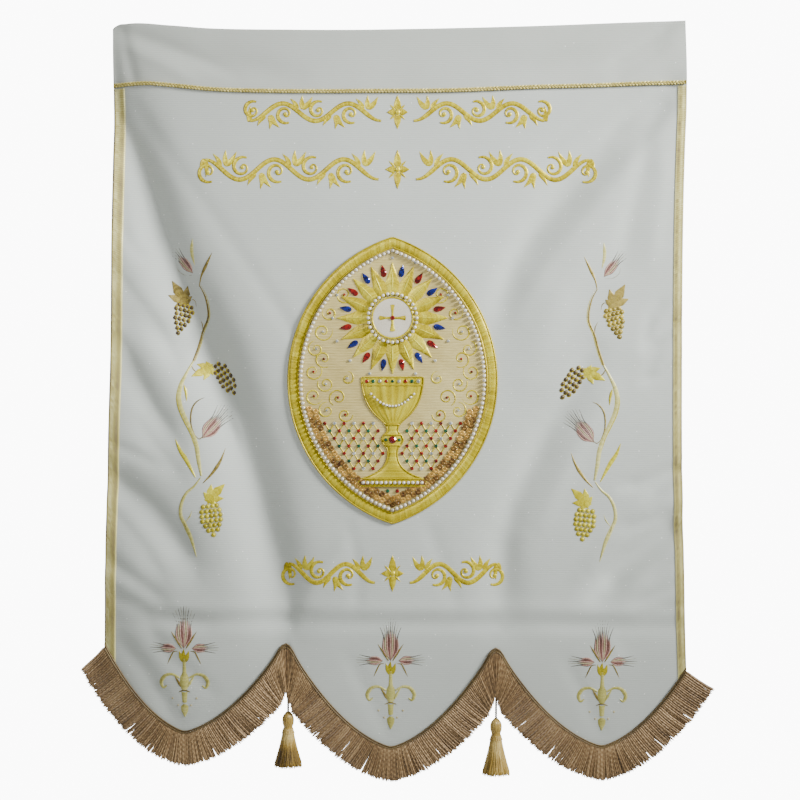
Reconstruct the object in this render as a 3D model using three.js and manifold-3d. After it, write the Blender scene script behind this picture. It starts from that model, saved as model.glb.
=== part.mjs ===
// A church banner: a ribbed cloth with a heading, braid, galloons, an appliqued medallion,
// a fringe round three lappets, and a tassel on a cord at each valley between the lappets.
//
// Millimetres. X runs to the right, the front faces -Y and Z is up. The origin is the middle of the top edge.
import * as THREE from "three";
import { mergeVertices } from "three/addons/utils/BufferGeometryUtils.js";
import Module from "manifold-3d";

const wasm = await Module();
wasm.setup();

// Cloth
const CLOTH_THICK = 2;
const HEADING_THICK = 3;
const SEAM_GAP = 0.3;
const SEWN_GAP = 0.4;
const TRIM_END_GAP = 0.7;

// The top edge sags between its two held corners.
const TOP_EDGE = [
  { x: -401, z: 3 },
  { x: -376, z: 8.4 },
  { x: -320, z: 5.6 },
  { x: -264, z: 1.4 },
  { x: -150, z: -0.6 },
  { x: -60, z: -0.8 },
  { x: 0, z: 0 },
  { x: 72, z: 1.4 },
  { x: 190, z: 4.4 },
  { x: 300, z: 8.6 },
  { x: 402, z: 12.4 },
];
const BRAID_LINE = [
  { x: -401, z: -78 },
  { x: -355, z: -75.6 },
  { x: -320, z: -78.4 },
  { x: -264, z: -84 },
  { x: -180, z: -86.8 },
  { x: -12, z: -86.8 },
  { x: 72, z: -86.2 },
  { x: 190, z: -81.2 },
  { x: 275, z: -79 },
  { x: 359, z: -75.6 },
  { x: 404, z: -74.6 },
];
const SIDE_EDGES = [
  { drop: -15, left: -401, right: 402 },
  { drop: 85, left: -401, right: 404 },
  { drop: 170, left: -401, right: 401 },
  { drop: 310, left: -402.5, right: 398 },
  { drop: 450, left: -404, right: 397 },
  { drop: 590, left: -407.5, right: 397 },
  { drop: 730, left: -412, right: 399.5 },
  { drop: 860, left: -415, right: 402.5 },
  { drop: 930, left: -416, right: 405.5 },
];

// The hem runs from corner to tip to valley. Droop is how far the fringe there hangs straight down.
const HEM = [
  { x: -415, z: -862, droop: 0.3 },
  { x: -301.7, z: -986.6, tip: true },
  { x: -157.8, z: -855.5, droop: 1 },
  { x: -10.5, z: -1008.3, tip: true },
  { x: 136.2, z: -861, droop: 1 },
  { x: 286.3, z: -1006.8, tip: true },
  { x: 405, z: -892.5, droop: 0.08 },
];
const HEM_BOW = 0.7;
const HEM_ROUNDING = 3.5;

// Folds. Depth is positive where the cloth lies back, spread is the half width, path runs in X and Z.
const FOLDS = [
  { depth: 8, spread: 34, path: [[-392, -70], [-335, -285], [-250, -460], [-192, -645], [-160, -815]] },
  { depth: -5, spread: 36, path: [[-396, -190], [-372, -345], [-305, -520], [-250, -700], [-225, -820]] },
  { depth: 5, spread: 30, path: [[374, -84], [242, -199], [162, -343], [120, -450]] },
  { depth: -3.5, spread: 32, path: [[396, -130], [300, -240], [225, -360], [190, -480]] },
  { depth: 4.5, spread: 32, path: [[215, -550], [140, -703], [146, -830]] },
  { depth: 3.5, spread: 22, path: [[-398, -395], [-345, -420], [-293, -455]] },
  { depth: 3.5, spread: 24, path: [[-400, -465], [-360, -510], [-318, -567]] },
  { depth: 5, spread: 26, path: [[-405, -618], [-350, -680], [-293, -745]] },
  { depth: 3.5, spread: 24, path: [[396, -695], [340, -735], [282, -778]] },
  { depth: 3, spread: 22, path: [[398, -818], [350, -845], [305, -872]] },
  { depth: 2.5, spread: 20, path: [[-392, -4], [-290, -38], [-150, -66]] },
  { depth: 2.5, spread: 20, path: [[392, 2], [280, -40], [160, -64]] },
];
const FOLD_TAPER = 0.18;
const HEM_CREASE = { z: -829, soft: 26, backward: 0.05 };
const SWELL = { depth: -7, x: 60, z: -520, reachX: 330, reachZ: 420 };

// The sheet that every piece of cloth is cut from, as a grid.
const GRID = { left: -450, right: 450, top: 44, bottom: -1076, columns: 30, rows: 32 };
// The longest straight stretch of a piece's side.
const SIDE_STEP = 130;

// Braid and galloons
const BRAID_WIDTH = 7;
const BRAID_THICK = 2.2;
const GALLOON_WIDTH = 13.5;
const GALLOON_THICK = 1.2;
const GALLOON_INSET = { left: 3, right: 0.5 };

// Fringe
const TAPE_WIDTH = 9;
const TAPE_THICK = 3;
const TAPE_LAP = 6;
const FRINGE_WIDTH = 50;
const STRANDS = 210;
const STRAND = { root: 7.4, width: 4.6, tip: 4.2, valleyTip: 3, thick: 1.1, tipEase: 26, valleyEase: 70 };

// Medallion, in the middle of the banner
const MEDALLION = { x: -8.4, z: -492, halfWidth: 146, halfHeight: 200, border: 13, thick: 1.2 };
const GLORY = { z: -405, rays: 16, tip: 78, hollow: 56 };
const HOST = { radius: 31, thick: 1.4 };
const CHALICE = { rimZ: -487, footZ: -640, rim: 43, foot: 47 };

// Tassels and their cords
const CORD_DIAMETER = 3.2;
const CORD_STEP = 8;
const TASSELS = [
  { side: "left", x: -155.4, headTop: -957.6, length: 79, cordTop: -846 },
  { side: "right", x: 137.4, headTop: -967.4, length: 81, cordTop: -852 },
];
const TASSEL_HEAD = [
  { radius: 2.4, down: 0 },
  { radius: 4.6, down: 1.6 },
  { radius: 6.8, down: 6.5 },
  { radius: 7.2, down: 11 },
  { radius: 6.4, down: 16.5 },
  { radius: 4.4, down: 20.5 },
  { radius: 4.4, down: 23 },
  { radius: 6.4, down: 27 },
  { radius: 7.6, down: 33 },
];
const TASSEL_SIDES = 10;
const LOCKS = [
  { count: 16, root: 5.4, tip: 17.6, width: 5.6, thick: 1.8 },
  { count: 8, root: 2.4, tip: 9.4, width: 5, thick: 1.8 },
];

const COLOURS = {
  cloth: 0xc1c5c0,
  heading: 0xc3c6c0,
  braid: 0xbbb08a,
  galloon: 0xcbc4a6,
  fringe: 0x7d6a52,
  cord: 0x8f8468,
  tassel: 0x94774a,
  gold: 0xc9a83e,
  brocade: 0xd2c69c,
  cream: 0xd8d0b8,
};

// A smooth function through one column of a table, over another column that rises from row to row.
function smoothTable(rows, key, value) {
  const keys = rows.map((row) => row[key]);
  const values = rows.map((row) => row[value]);
  const table = new THREE.CubicInterpolant(keys, values, 1, new Float32Array(1));
  return (at) => table.evaluate(at)[0];
}

const topEdge = smoothTable(TOP_EDGE, "x", "z");
const braidLine = smoothTable(BRAID_LINE, "x", "z");
const leftEdge = smoothTable(SIDE_EDGES, "drop", "left");
const rightEdge = smoothTable(SIDE_EDGES, "drop", "right");

// A repeatable number from -1 to 1 for each whole number.
function uneven(index) {
  const wave = Math.sin(index * 12.9898 + 4.137) * 43758.5453;
  return 2 * (wave - Math.floor(wave)) - 1;
}

function clamp01(value) {
  return Math.min(1, Math.max(0, value));
}

// How deep a fold lies at (x, z), faded out at both its ends.
function foldDepth(fold, x, z) {
  let nearest = Infinity;
  let along = 0;
  for (let i = 1; i < fold.path.length; i += 1) {
    const [ax, az] = fold.path[i - 1];
    const [bx, bz] = fold.path[i];
    const dx = bx - ax;
    const dz = bz - az;
    const share = clamp01(((x - ax) * dx + (z - az) * dz) / (dx * dx + dz * dz));
    const distance = Math.hypot(x - ax - share * dx, z - az - share * dz);
    if (distance < nearest) {
      nearest = distance;
      along = (i - 1 + share) / (fold.path.length - 1);
    }
  }
  const fade = THREE.MathUtils.smoothstep(Math.min(along, 1 - along), -FOLD_TAPER, FOLD_TAPER);
  return fold.depth * fade * Math.exp(-((nearest / fold.spread) ** 2));
}

// The depth (y) of the hanging cloth at (x, z), before the origin is set on the top edge.
function rawDepth(x, z) {
  const folds = FOLDS.reduce((sum, fold) => sum + foldDepth(fold, x, z), 0);
  const below = HEM_CREASE.z - z;
  const crease = HEM_CREASE.backward * 0.5 * (below + Math.hypot(below, HEM_CREASE.soft));
  const swellX = (x - SWELL.x) / SWELL.reachX;
  const swellZ = (z - SWELL.z) / SWELL.reachZ;
  const swell = SWELL.depth * Math.exp(-swellX * swellX - swellZ * swellZ);
  return folds + crease + swell;
}

const depthAtOrigin = rawDepth(0, 0);
const cellWidth = (GRID.right - GRID.left) / GRID.columns;
const cellHeight = (GRID.top - GRID.bottom) / GRID.rows;
const gridDepth = [];
for (let row = 0; row <= GRID.rows; row += 1) {
  gridDepth.push([]);
  for (let column = 0; column <= GRID.columns; column += 1) {
    const x = GRID.left + column * cellWidth;
    const z = GRID.top - row * cellHeight;
    gridDepth[row].push(rawDepth(x, z) - depthAtOrigin);
  }
}

// The depth of the grid's own triangles at (x, z), which every layer of cloth shares.
function sheetDepth(x, z) {
  const across = (x - GRID.left) / cellWidth;
  const down = (GRID.top - z) / cellHeight;
  const column = Math.min(GRID.columns - 1, Math.floor(across));
  const row = Math.min(GRID.rows - 1, Math.floor(down));
  const u = across - column;
  const v = down - row;
  const near = gridDepth[row][column];
  const far = gridDepth[row + 1][column + 1];
  if (u > v) {
    const right = gridDepth[row][column + 1];
    return near + u * (right - near) + v * (far - right);
  }
  const below = gridDepth[row + 1][column];
  return near + v * (below - near) + u * (far - below);
}

// A closed three.js geometry as a solid that can be joined and cut.
function solidOf(geometry) {
  const plain = new THREE.BufferGeometry();
  plain.setAttribute("position", geometry.getAttribute("position"));
  plain.setIndex(geometry.getIndex());
  const merged = mergeVertices(plain, 1e-4);
  const vertProperties = new Float32Array(merged.getAttribute("position").array);
  const triVerts = new Uint32Array(merged.getIndex().array);
  return new wasm.Manifold(new wasm.Mesh({ numProp: 3, vertProperties, triVerts }));
}

function geometryOf(solid) {
  const mesh = solid.getMesh();
  const geometry = new THREE.BufferGeometry();
  geometry.setAttribute("position", new THREE.BufferAttribute(new Float32Array(mesh.vertProperties), 3));
  geometry.setIndex(new THREE.BufferAttribute(new Uint32Array(mesh.triVerts), 1));
  return geometry;
}

// The whole grid between two offsets from the cloth's middle; front is the smaller one.
function layer(front, back) {
  const wide = GRID.columns + 1;
  const high = GRID.rows + 1;
  const positions = [];
  for (const offset of [front, back]) {
    for (let row = 0; row < high; row += 1) {
      for (let column = 0; column < wide; column += 1) {
        const x = GRID.left + column * cellWidth;
        const z = GRID.top - row * cellHeight;
        positions.push(x, gridDepth[row][column] + offset, z);
      }
    }
  }
  const count = wide * high;
  const faces = [];
  for (let row = 0; row < GRID.rows; row += 1) {
    for (let column = 0; column < GRID.columns; column += 1) {
      const a = row * wide + column;
      const b = a + 1;
      const c = a + wide + 1;
      const d = a + wide;
      faces.push(a, c, b, a, d, c);
      faces.push(count + a, count + b, count + c, count + a, count + c, count + d);
    }
  }
  const rim = [];
  for (let column = 0; column < wide; column += 1) rim.push(column);
  for (let row = 1; row < high; row += 1) rim.push(row * wide + wide - 1);
  for (let column = wide - 2; column >= 0; column -= 1) rim.push((high - 1) * wide + column);
  for (let row = high - 2; row > 0; row -= 1) rim.push(row * wide);
  rim.forEach((a, i) => {
    const b = rim[(i + 1) % rim.length];
    faces.push(a, b, count + b, a, count + b, count + a);
  });
  const geometry = new THREE.BufferGeometry();
  geometry.setAttribute("position", new THREE.Float32BufferAttribute(positions, 3));
  geometry.setIndex(faces);
  return solidOf(geometry);
}

// A deep block with the outline of a three.js shape drawn in X and Z.
function block(shape) {
  const depth = 400;
  const geometry = new THREE.ExtrudeGeometry(shape, { depth, bevelEnabled: false, curveSegments: 8 });
  geometry.rotateX(Math.PI / 2);
  geometry.translate(0, depth / 2, 0);
  return solidOf(geometry);
}

// The part of a layer that lies inside every one of the outlines.
function cutFrom(front, back, ...shapes) {
  return shapes.reduce((solid, shape) => solid.intersect(block(shape)), layer(front, back));
}

// An outline between two lines over X, with the sides given by their own lines over Z.
function outlineBetween(upper, lower, left, right, steps) {
  const points = [];
  const topLeft = left(-upper(left(80)));
  const topRight = right(-upper(right(80)));
  for (let i = 0; i <= steps.upper; i += 1) {
    const x = THREE.MathUtils.lerp(topLeft, topRight, i / steps.upper);
    points.push(new THREE.Vector2(x, upper(x)));
  }
  const bottomRight = right(-lower(right(900)));
  const bottomLeft = left(-lower(left(900)));
  const topRightZ = upper(topRight);
  const bottomRightZ = lower(bottomRight);
  const sideSteps = Math.ceil((topRightZ - bottomRightZ) / SIDE_STEP);
  for (let i = 1; i < sideSteps; i += 1) {
    const z = THREE.MathUtils.lerp(topRightZ, bottomRightZ, i / sideSteps);
    points.push(new THREE.Vector2(right(-z), z));
  }
  for (let i = 0; i <= steps.lower; i += 1) {
    const x = THREE.MathUtils.lerp(bottomRight, bottomLeft, i / steps.lower);
    points.push(new THREE.Vector2(x, lower(x)));
  }
  for (let i = 1; i < sideSteps; i += 1) {
    const z = THREE.MathUtils.lerp(lower(bottomLeft), upper(topLeft), i / sideSteps);
    points.push(new THREE.Vector2(left(-z), z));
  }
  return new THREE.Shape(points);
}

// The half of a lappet over x: its upper end, a corner or valley, and its tip.
function hemHalf(x) {
  const last = HEM.length - 2;
  const found = HEM.findIndex((row, i) => i < last && x < HEM[i + 1].x);
  const index = found < 0 ? last : found;
  const pair = [HEM[index], HEM[index + 1]];
  return pair[0].tip ? { tip: pair[0], end: pair[1] } : { tip: pair[1], end: pair[0] };
}

// The hem at x before its tips and valleys are rounded, moved outwards square to the edge.
function sharpHem(x, outwards) {
  const { tip, end } = hemHalf(x);
  const share = (x - end.x) / (tip.x - end.x);
  const drop = tip.z - end.z;
  const z = end.z + drop * ((1 + HEM_BOW) * share - HEM_BOW * share * share);
  const slope = (drop * (1 + HEM_BOW - 2 * HEM_BOW * share)) / (tip.x - end.x);
  return z - outwards * Math.hypot(1, slope);
}

function hem(x, outwards = 0) {
  const weights = [1, 2, 3, 2, 1];
  const total = weights.reduce((sum, weight) => sum + weight, 0);
  const heights = weights.map((weight, i) => weight * sharpHem(x + (i - 2) * HEM_ROUNDING, outwards));
  return heights.reduce((sum, height) => sum + height, 0) / total;
}

// The share of the way from a lappet's upper end, 0, to where its strands stand free of it, 1.
function wayFromEnd(x) {
  return clamp01(Math.abs(x - hemHalf(x).end.x) / STRAND.valleyEase);
}

// How far from straight down a strand of the fringe leans at x, in radians, positive to the right.
function fringeLean(x) {
  const { tip, end } = hemHalf(x);
  const slope = (hem(x + 1) - hem(x - 1)) / 2;
  const fromTip = clamp01(Math.abs(x - tip.x) / STRAND.tipEase);
  const held = 1 - end.droop * (1 - wayFromEnd(x)) ** 2;
  const lean = Math.atan(slope) * fromTip * held;
  const reach = FRINGE_WIDTH - STRAND.root;
  const most = Math.asin(clamp01((0.75 * Math.abs(x - end.x)) / reach));
  return end.droop === 1 ? THREE.MathUtils.clamp(lean, -most, most) : lean;
}

// A closed bar of three sides through a row of sections, each with a centre, a width and a thickness.
function taperedBar(sections) {
  const positions = [];
  for (const { centre, across, out, width, thick } of sections) {
    const left = centre.clone().addScaledVector(across, -width / 2).addScaledVector(out, -thick / 2);
    const right = centre.clone().addScaledVector(across, width / 2).addScaledVector(out, -thick / 2);
    const ridge = centre.clone().addScaledVector(out, thick / 2);
    for (const corner of [left, right, ridge]) positions.push(corner.x, corner.y, corner.z);
  }
  const faces = [0, 2, 1];
  for (let i = 0; i + 1 < sections.length; i += 1) {
    for (let side = 0; side < 3; side += 1) {
      const a = 3 * i + side;
      const b = 3 * i + ((side + 1) % 3);
      faces.push(a, b, a + 3, b, b + 3, a + 3);
    }
  }
  const end = 3 * (sections.length - 1);
  faces.push(end, end + 1, end + 2);
  const geometry = new THREE.BufferGeometry();
  geometry.setAttribute("position", new THREE.Float32BufferAttribute(positions, 3));
  geometry.setIndex(faces);
  return solidOf(geometry);
}

function makeHeading() {
  const half = HEADING_THICK / 2;
  const lower = (x) => braidLine(x) + SEAM_GAP / 2;
  return cutFrom(-half, half, outlineBetween(topEdge, lower, leftEdge, rightEdge, { upper: 16, lower: 12 }));
}

function makePanel() {
  const half = CLOTH_THICK / 2;
  const upper = (x) => braidLine(x) - SEAM_GAP / 2;
  const lower = (x) => hem(x, TAPE_LAP);
  return cutFrom(-half, half, outlineBetween(upper, lower, leftEdge, rightEdge, { upper: 12, lower: 62 }));
}

function makeTopBraid() {
  const back = -HEADING_THICK / 2 - SEWN_GAP;
  const upper = (x) => braidLine(x) + BRAID_WIDTH / 2;
  const lower = (x) => braidLine(x) - BRAID_WIDTH / 2;
  const steps = { upper: 26, lower: 26 };
  return cutFrom(back - BRAID_THICK, back, outlineBetween(upper, lower, leftEdge, rightEdge, steps));
}

// A galloon lies between the braid and the fringe, beside one side edge.
function makeGalloon(side) {
  const back = -CLOTH_THICK / 2 - SEWN_GAP;
  const upper = (x) => braidLine(x) - BRAID_WIDTH / 2 - TRIM_END_GAP;
  const lower = (x) => hem(x) + TRIM_END_GAP;
  const inset = GALLOON_INSET[side];
  const outer = (drop) => (side === "left" ? leftEdge(drop) + inset : rightEdge(drop) - inset);
  const inner = (drop) => (side === "left" ? outer(drop) + GALLOON_WIDTH : outer(drop) - GALLOON_WIDTH);
  const lines = side === "left" ? [outer, inner] : [inner, outer];
  return cutFrom(back - GALLOON_THICK, back, outlineBetween(upper, lower, ...lines, { upper: 2, lower: 3 }));
}

// The points where the strands leave the tape, evenly spaced along it.
function strandRoots() {
  const from = leftEdge(870) + 2;
  const to = rightEdge(900) - 2;
  const points = [];
  const steps = 1200;
  for (let i = 0; i <= steps; i += 1) {
    const x = THREE.MathUtils.lerp(from, to, i / steps);
    points.push(new THREE.Vector2(x, hem(x, STRAND.root)));
  }
  return new THREE.Path(points).getSpacedPoints(STRANDS - 1);
}

// One length of fringe, round one lappet. Its strands lie in two layers, front and back in turn,
// and none stands in the very middle of a valley.
function makeFringe({ left, right }) {
  const back = -CLOTH_THICK / 2 - SEWN_GAP;
  const front = back - TAPE_THICK;
  const upper = (x) => hem(x);
  const lower = (x) => hem(x, TAPE_WIDTH);
  const tape = cutFrom(front, back, outlineBetween(upper, lower, left, right, { upper: 22, lower: 22 }));
  const layers = [front + TAPE_THICK * 0.27, front + TAPE_THICK * 0.73];
  const strands = strandRoots().map((root, i) => {
    const offset = layers[i % 2];
    const lean = fringeLean(root.x) + 0.02 * uneven(i);
    const reach = FRINGE_WIDTH - STRAND.root + 1.8 * uneven(i + 500);
    const tipWidth = THREE.MathUtils.lerp(STRAND.valleyTip, STRAND.tip, wayFromEnd(root.x));
    const sections = [0, 1].map((share) => {
      const x = root.x + Math.sin(lean) * reach * share;
      const z = root.y - Math.cos(lean) * reach * share;
      return {
        centre: new THREE.Vector3(x, sheetDepth(x, z) + offset, z),
        across: new THREE.Vector3(Math.cos(lean), 0, Math.sin(lean)),
        out: new THREE.Vector3(0, -1, 0),
        width: THREE.MathUtils.lerp(STRAND.width, tipWidth, share),
        thick: STRAND.thick,
      };
    });
    return { root, sections };
  });
  const clear = 3;
  return strands
    .filter(({ root }) => root.x > left(-root.y) + clear * (left !== leftEdge))
    .filter(({ root }) => root.x < right(-root.y) - clear * (right !== rightEdge))
    .reduce((solid, { sections }) => solid.add(taperedBar(sections)), tape);
}

// The lengths of fringe, parted in the middle of each valley.
function fringeLengths() {
  const [first, second] = HEM.filter((row) => row.droop === 1).map((row) => row.x);
  const half = SEAM_GAP / 2;
  return [
    { name: "fringe_left", left: leftEdge, right: () => first - half },
    { name: "fringe_middle", left: () => first + half, right: () => second - half },
    { name: "fringe_right", left: () => second + half, right: rightEdge },
  ];
}

// The pointed oval of the medallion, drawn in by some distance all round.
function pointedOval(inwards) {
  const { x, z, halfWidth, halfHeight } = MEDALLION;
  const radius = (halfWidth ** 2 + halfHeight ** 2) / (2 * halfWidth);
  const away = radius - halfWidth;
  const reach = Math.acos(away / (radius - inwards));
  const shape = new THREE.Shape();
  shape.absarc(x - away, z, radius - inwards, -reach, reach, false);
  shape.absarc(x + away, z, radius - inwards, Math.PI - reach, Math.PI + reach, false);
  return shape;
}

function starShape() {
  const points = [];
  for (let i = 0; i < 2 * GLORY.rays; i += 1) {
    const angle = (i * Math.PI) / GLORY.rays;
    const radius = i % 2 ? GLORY.hollow : GLORY.tip;
    const across = radius * Math.sin(angle);
    const up = radius * Math.cos(angle);
    points.push(new THREE.Vector2(MEDALLION.x + across, GLORY.z + up));
  }
  return new THREE.Shape(points);
}

function chaliceShape() {
  const { rimZ, footZ, rim, foot } = CHALICE;
  const x = MEDALLION.x;
  const shape = new THREE.Shape();
  shape.moveTo(x - rim, rimZ);
  shape.bezierCurveTo(x - rim, rimZ - 48, x - 24, rimZ - 62, x - 8, rimZ - 68);
  shape.lineTo(x - 8, rimZ - 78);
  shape.absarc(x, rimZ - 88, 15, (3 * Math.PI) / 4, (5 * Math.PI) / 4, false);
  shape.lineTo(x - 7, rimZ - 112);
  shape.quadraticCurveTo(x - 12, footZ + 22, x - foot, footZ + 10);
  shape.lineTo(x - foot, footZ);
  shape.lineTo(x + foot, footZ);
  shape.lineTo(x + foot, footZ + 10);
  shape.quadraticCurveTo(x + 12, footZ + 22, x + 7, rimZ - 112);
  shape.absarc(x, rimZ - 88, 15, -Math.PI / 4, Math.PI / 4, false);
  shape.lineTo(x + 8, rimZ - 68);
  shape.bezierCurveTo(x + 24, rimZ - 62, x + rim, rimZ - 48, x + rim, rimZ);
  return shape;
}

// The medallion's pieces in their order of sewing: each lies on the piece before it in `on`.
function medallionPieces() {
  const border = pointedOval(0);
  border.holes.push(pointedOval(MEDALLION.border));
  const host = new THREE.Shape().absarc(MEDALLION.x, GLORY.z, HOST.radius, 0, 2 * Math.PI, false);
  const thick = MEDALLION.thick;
  return [
    { name: "medallion_ground", shape: pointedOval(0), level: 0, thick, colour: COLOURS.brocade },
    { name: "medallion_border", shape: border, level: 1, thick, colour: COLOURS.gold },
    { name: "medallion_glory", shape: starShape(), level: 1, thick, colour: COLOURS.gold },
    { name: "medallion_chalice", shape: chaliceShape(), level: 1, thick, colour: COLOURS.gold },
    { name: "medallion_host", shape: host, level: 2, thick: HOST.thick, colour: COLOURS.cream },
  ];
}

function cutMedallionPiece({ shape, level, thick }) {
  const back = -CLOTH_THICK / 2 - SEWN_GAP - level * (MEDALLION.thick + SEWN_GAP);
  return cutFrom(back - thick, back, shape);
}

// A tassel hangs from its own origin, the top of its head.
function makeTassel(length) {
  const last = TASSEL_HEAD[TASSEL_HEAD.length - 1];
  const profile = [new THREE.Vector2(0, -last.down)];
  for (const row of [...TASSEL_HEAD].reverse()) profile.push(new THREE.Vector2(row.radius, -row.down));
  profile.push(new THREE.Vector2(0, 0));
  const head = new THREE.LatheGeometry(profile, TASSEL_SIDES);
  head.rotateX(Math.PI / 2);
  let tassel = solidOf(head);
  for (const ring of LOCKS) {
    for (let i = 0; i < ring.count; i += 1) {
      const angle = (2 * Math.PI * (i + 0.5)) / ring.count;
      const out = new THREE.Vector3(Math.cos(angle), Math.sin(angle), 0);
      const across = new THREE.Vector3(-Math.sin(angle), Math.cos(angle), 0);
      const reach = length - 2.5 + 2.5 * uneven(i + ring.count);
      const shares = [0, 0.45, 1];
      const sections = shares.map((share) => {
        const radius = THREE.MathUtils.lerp(ring.root, ring.tip, share ** 1.3);
        const down = THREE.MathUtils.lerp(last.down - 5, reach, share);
        return {
          centre: new THREE.Vector3(0, 0, -down).addScaledVector(out, radius),
          across,
          out,
          width: THREE.MathUtils.lerp(1.2, ring.width, share ** 0.8),
          thick: ring.thick,
        };
      });
      tassel = tassel.add(taperedBar(sections));
    }
  }
  return tassel;
}

// A tassel's cord lies on the back of the cloth above the valley and hangs behind the fringe to the head.
function cordPath({ x, headTop, cordTop }) {
  const behind = CLOTH_THICK / 2 + SEWN_GAP + CORD_DIAMETER / 2;
  const bottom = headTop + SEAM_GAP;
  const heights = [cordTop, cordTop - 22, (cordTop + bottom) / 2, bottom + 12, bottom];
  const points = heights.map((z) => new THREE.Vector3(x, sheetDepth(x, z) + behind, z));
  return new THREE.CatmullRomCurve3(points);
}

function cordGeometry(path) {
  const section = new THREE.Shape();
  const sides = 8;
  for (let i = 0; i < sides; i += 1) {
    const angle = (2 * Math.PI * i) / sides;
    const corner = [(CORD_DIAMETER / 2) * Math.cos(angle), (CORD_DIAMETER / 2) * Math.sin(angle)];
    if (i) section.lineTo(...corner);
    else section.moveTo(...corner);
  }
  const steps = Math.round(path.getLength() / CORD_STEP);
  return new THREE.ExtrudeGeometry(section, { steps, extrudePath: path, bevelEnabled: false });
}

function addPiece(group, name, geometry, color, roughness = 0.85, metalness = 0) {
  const material = new THREE.MeshStandardMaterial({ color, roughness, metalness, flatShading: true });
  const mesh = new THREE.Mesh(geometry, material);
  mesh.name = name;
  group.add(mesh);
  return mesh;
}

const group = new THREE.Group();
const cloth = new THREE.Group();
const trims = new THREE.Group();
const medallion = new THREE.Group();
const hangings = new THREE.Group();
group.add(cloth, trims, medallion, hangings);

addPiece(cloth, "heading", geometryOf(makeHeading()), COLOURS.heading);
addPiece(cloth, "panel", geometryOf(makePanel()), COLOURS.cloth);
addPiece(trims, "top_braid", geometryOf(makeTopBraid()), COLOURS.braid, 0.55, 0.3);
for (const side of ["left", "right"]) {
  addPiece(trims, `galloon_${side}`, geometryOf(makeGalloon(side)), COLOURS.galloon, 0.5, 0.3);
}
for (const length of fringeLengths()) {
  addPiece(trims, length.name, geometryOf(makeFringe(length)), COLOURS.fringe, 0.6, 0.2);
}
for (const piece of medallionPieces()) {
  addPiece(medallion, piece.name, geometryOf(cutMedallionPiece(piece)), piece.colour, 0.5, 0.3);
}
for (const tassel of TASSELS) {
  const { side, x, headTop, length } = tassel;
  const path = cordPath(tassel);
  addPiece(hangings, `tassel_cord_${side}`, cordGeometry(path), COLOURS.cord);
  const hung = addPiece(hangings, `tassel_${side}`, geometryOf(makeTassel(length)), COLOURS.tassel);
  hung.position.set(x, path.getPoint(1).y, headTop);
}

export default group;
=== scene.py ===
"""A hanging church banner of ribbed cloth: gold trims, bullion fringe, embroidery and an appliqued medallion.

Shapes are worked out in millimetres, as in the part's source, and become metres when a mesh is made.
X runs to the right, the front faces -Y and Z is up. Height on the cloth means towards the viewer.
"""

import logging
import math
from dataclasses import dataclass
from enum import Enum

import bpy
import numpy as np
from bpy.types import Material, Node, NodeSocket, NodeTree, Object
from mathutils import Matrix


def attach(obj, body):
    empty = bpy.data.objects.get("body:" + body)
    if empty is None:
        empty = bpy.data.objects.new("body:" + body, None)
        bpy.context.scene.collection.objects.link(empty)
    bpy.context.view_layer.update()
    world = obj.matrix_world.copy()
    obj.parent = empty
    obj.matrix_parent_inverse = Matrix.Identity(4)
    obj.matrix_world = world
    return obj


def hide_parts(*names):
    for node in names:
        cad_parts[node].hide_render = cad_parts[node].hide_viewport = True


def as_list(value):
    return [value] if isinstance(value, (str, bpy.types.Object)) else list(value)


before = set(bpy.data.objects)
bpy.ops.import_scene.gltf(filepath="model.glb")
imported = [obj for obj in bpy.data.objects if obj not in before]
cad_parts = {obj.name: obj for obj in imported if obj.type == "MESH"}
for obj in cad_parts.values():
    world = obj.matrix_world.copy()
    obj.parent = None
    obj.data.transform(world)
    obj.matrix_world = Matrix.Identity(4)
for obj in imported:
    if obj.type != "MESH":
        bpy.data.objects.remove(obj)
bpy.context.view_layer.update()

log = logging.getLogger("banner")

METRES = 0.001
STITCH = 1.8  # a satin stitch is 0.4 mm wide; drawn 1.8 mm wide so that it shows
CLOTH_FRONT = 1.0
WAVE_BANDS = 3.18  # bands that Blender's wave texture draws in one unit of length at a scale of 1

Pairs = tuple[tuple[float, float], ...]
Points = np.ndarray | list | tuple
Numbers = float | np.ndarray


def uneven(index: Numbers) -> Numbers:
    """Returns a repeatable number from -1 to 1 for each whole number."""
    wave = np.sin(np.asarray(index, float) * 12.9898 + 4.137) * 43758.5453
    return 2 * (wave - np.floor(wave)) - 1


def lerp(a: Numbers, b: Numbers, share: Numbers) -> Numbers:
    """Returns the value a share of the way from a to b."""
    return a + (b - a) * share


def smoothstep(value: np.ndarray, low: float, high: float) -> np.ndarray:
    """Returns 0 below low and 1 above high, with a smooth rise between."""
    share = np.clip((value - low) / (high - low), 0, 1)
    return share * share * (3 - 2 * share)


def smooth_path(points: Points, step: float = STITCH / 2) -> np.ndarray:
    """Returns evenly spaced points on a smooth curve through the given ones.

    Args:
        points: the points, in two or three dimensions.
        step: about how far apart the returned points are.

    Returns:
        An array with one point a row.
    """
    knots = np.asarray(points, float)
    padded = np.vstack([2 * knots[:1] - knots[1:2], knots, 2 * knots[-1:] - knots[-2:-1]])
    t = np.linspace(0, 1, 16, endpoint=False)[:, None]
    parts = []
    for a, b, c, d in zip(padded, padded[1:], padded[2:], padded[3:]):
        cubic = (2 * a - 5 * b + 4 * c - d) * t**2 + (3 * b - a - 3 * c + d) * t**3
        parts.append(0.5 * (2 * b + (c - a) * t + cubic))
    fine = np.vstack([*parts, knots[-1:]])
    way = np.concatenate([[0], np.cumsum(np.linalg.norm(np.diff(fine, axis=0), axis=1))])
    at = np.linspace(0, way[-1], max(3, round(way[-1] / step) + 1))
    return np.stack([np.interp(at, way, column) for column in fine.T], axis=1)


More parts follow.
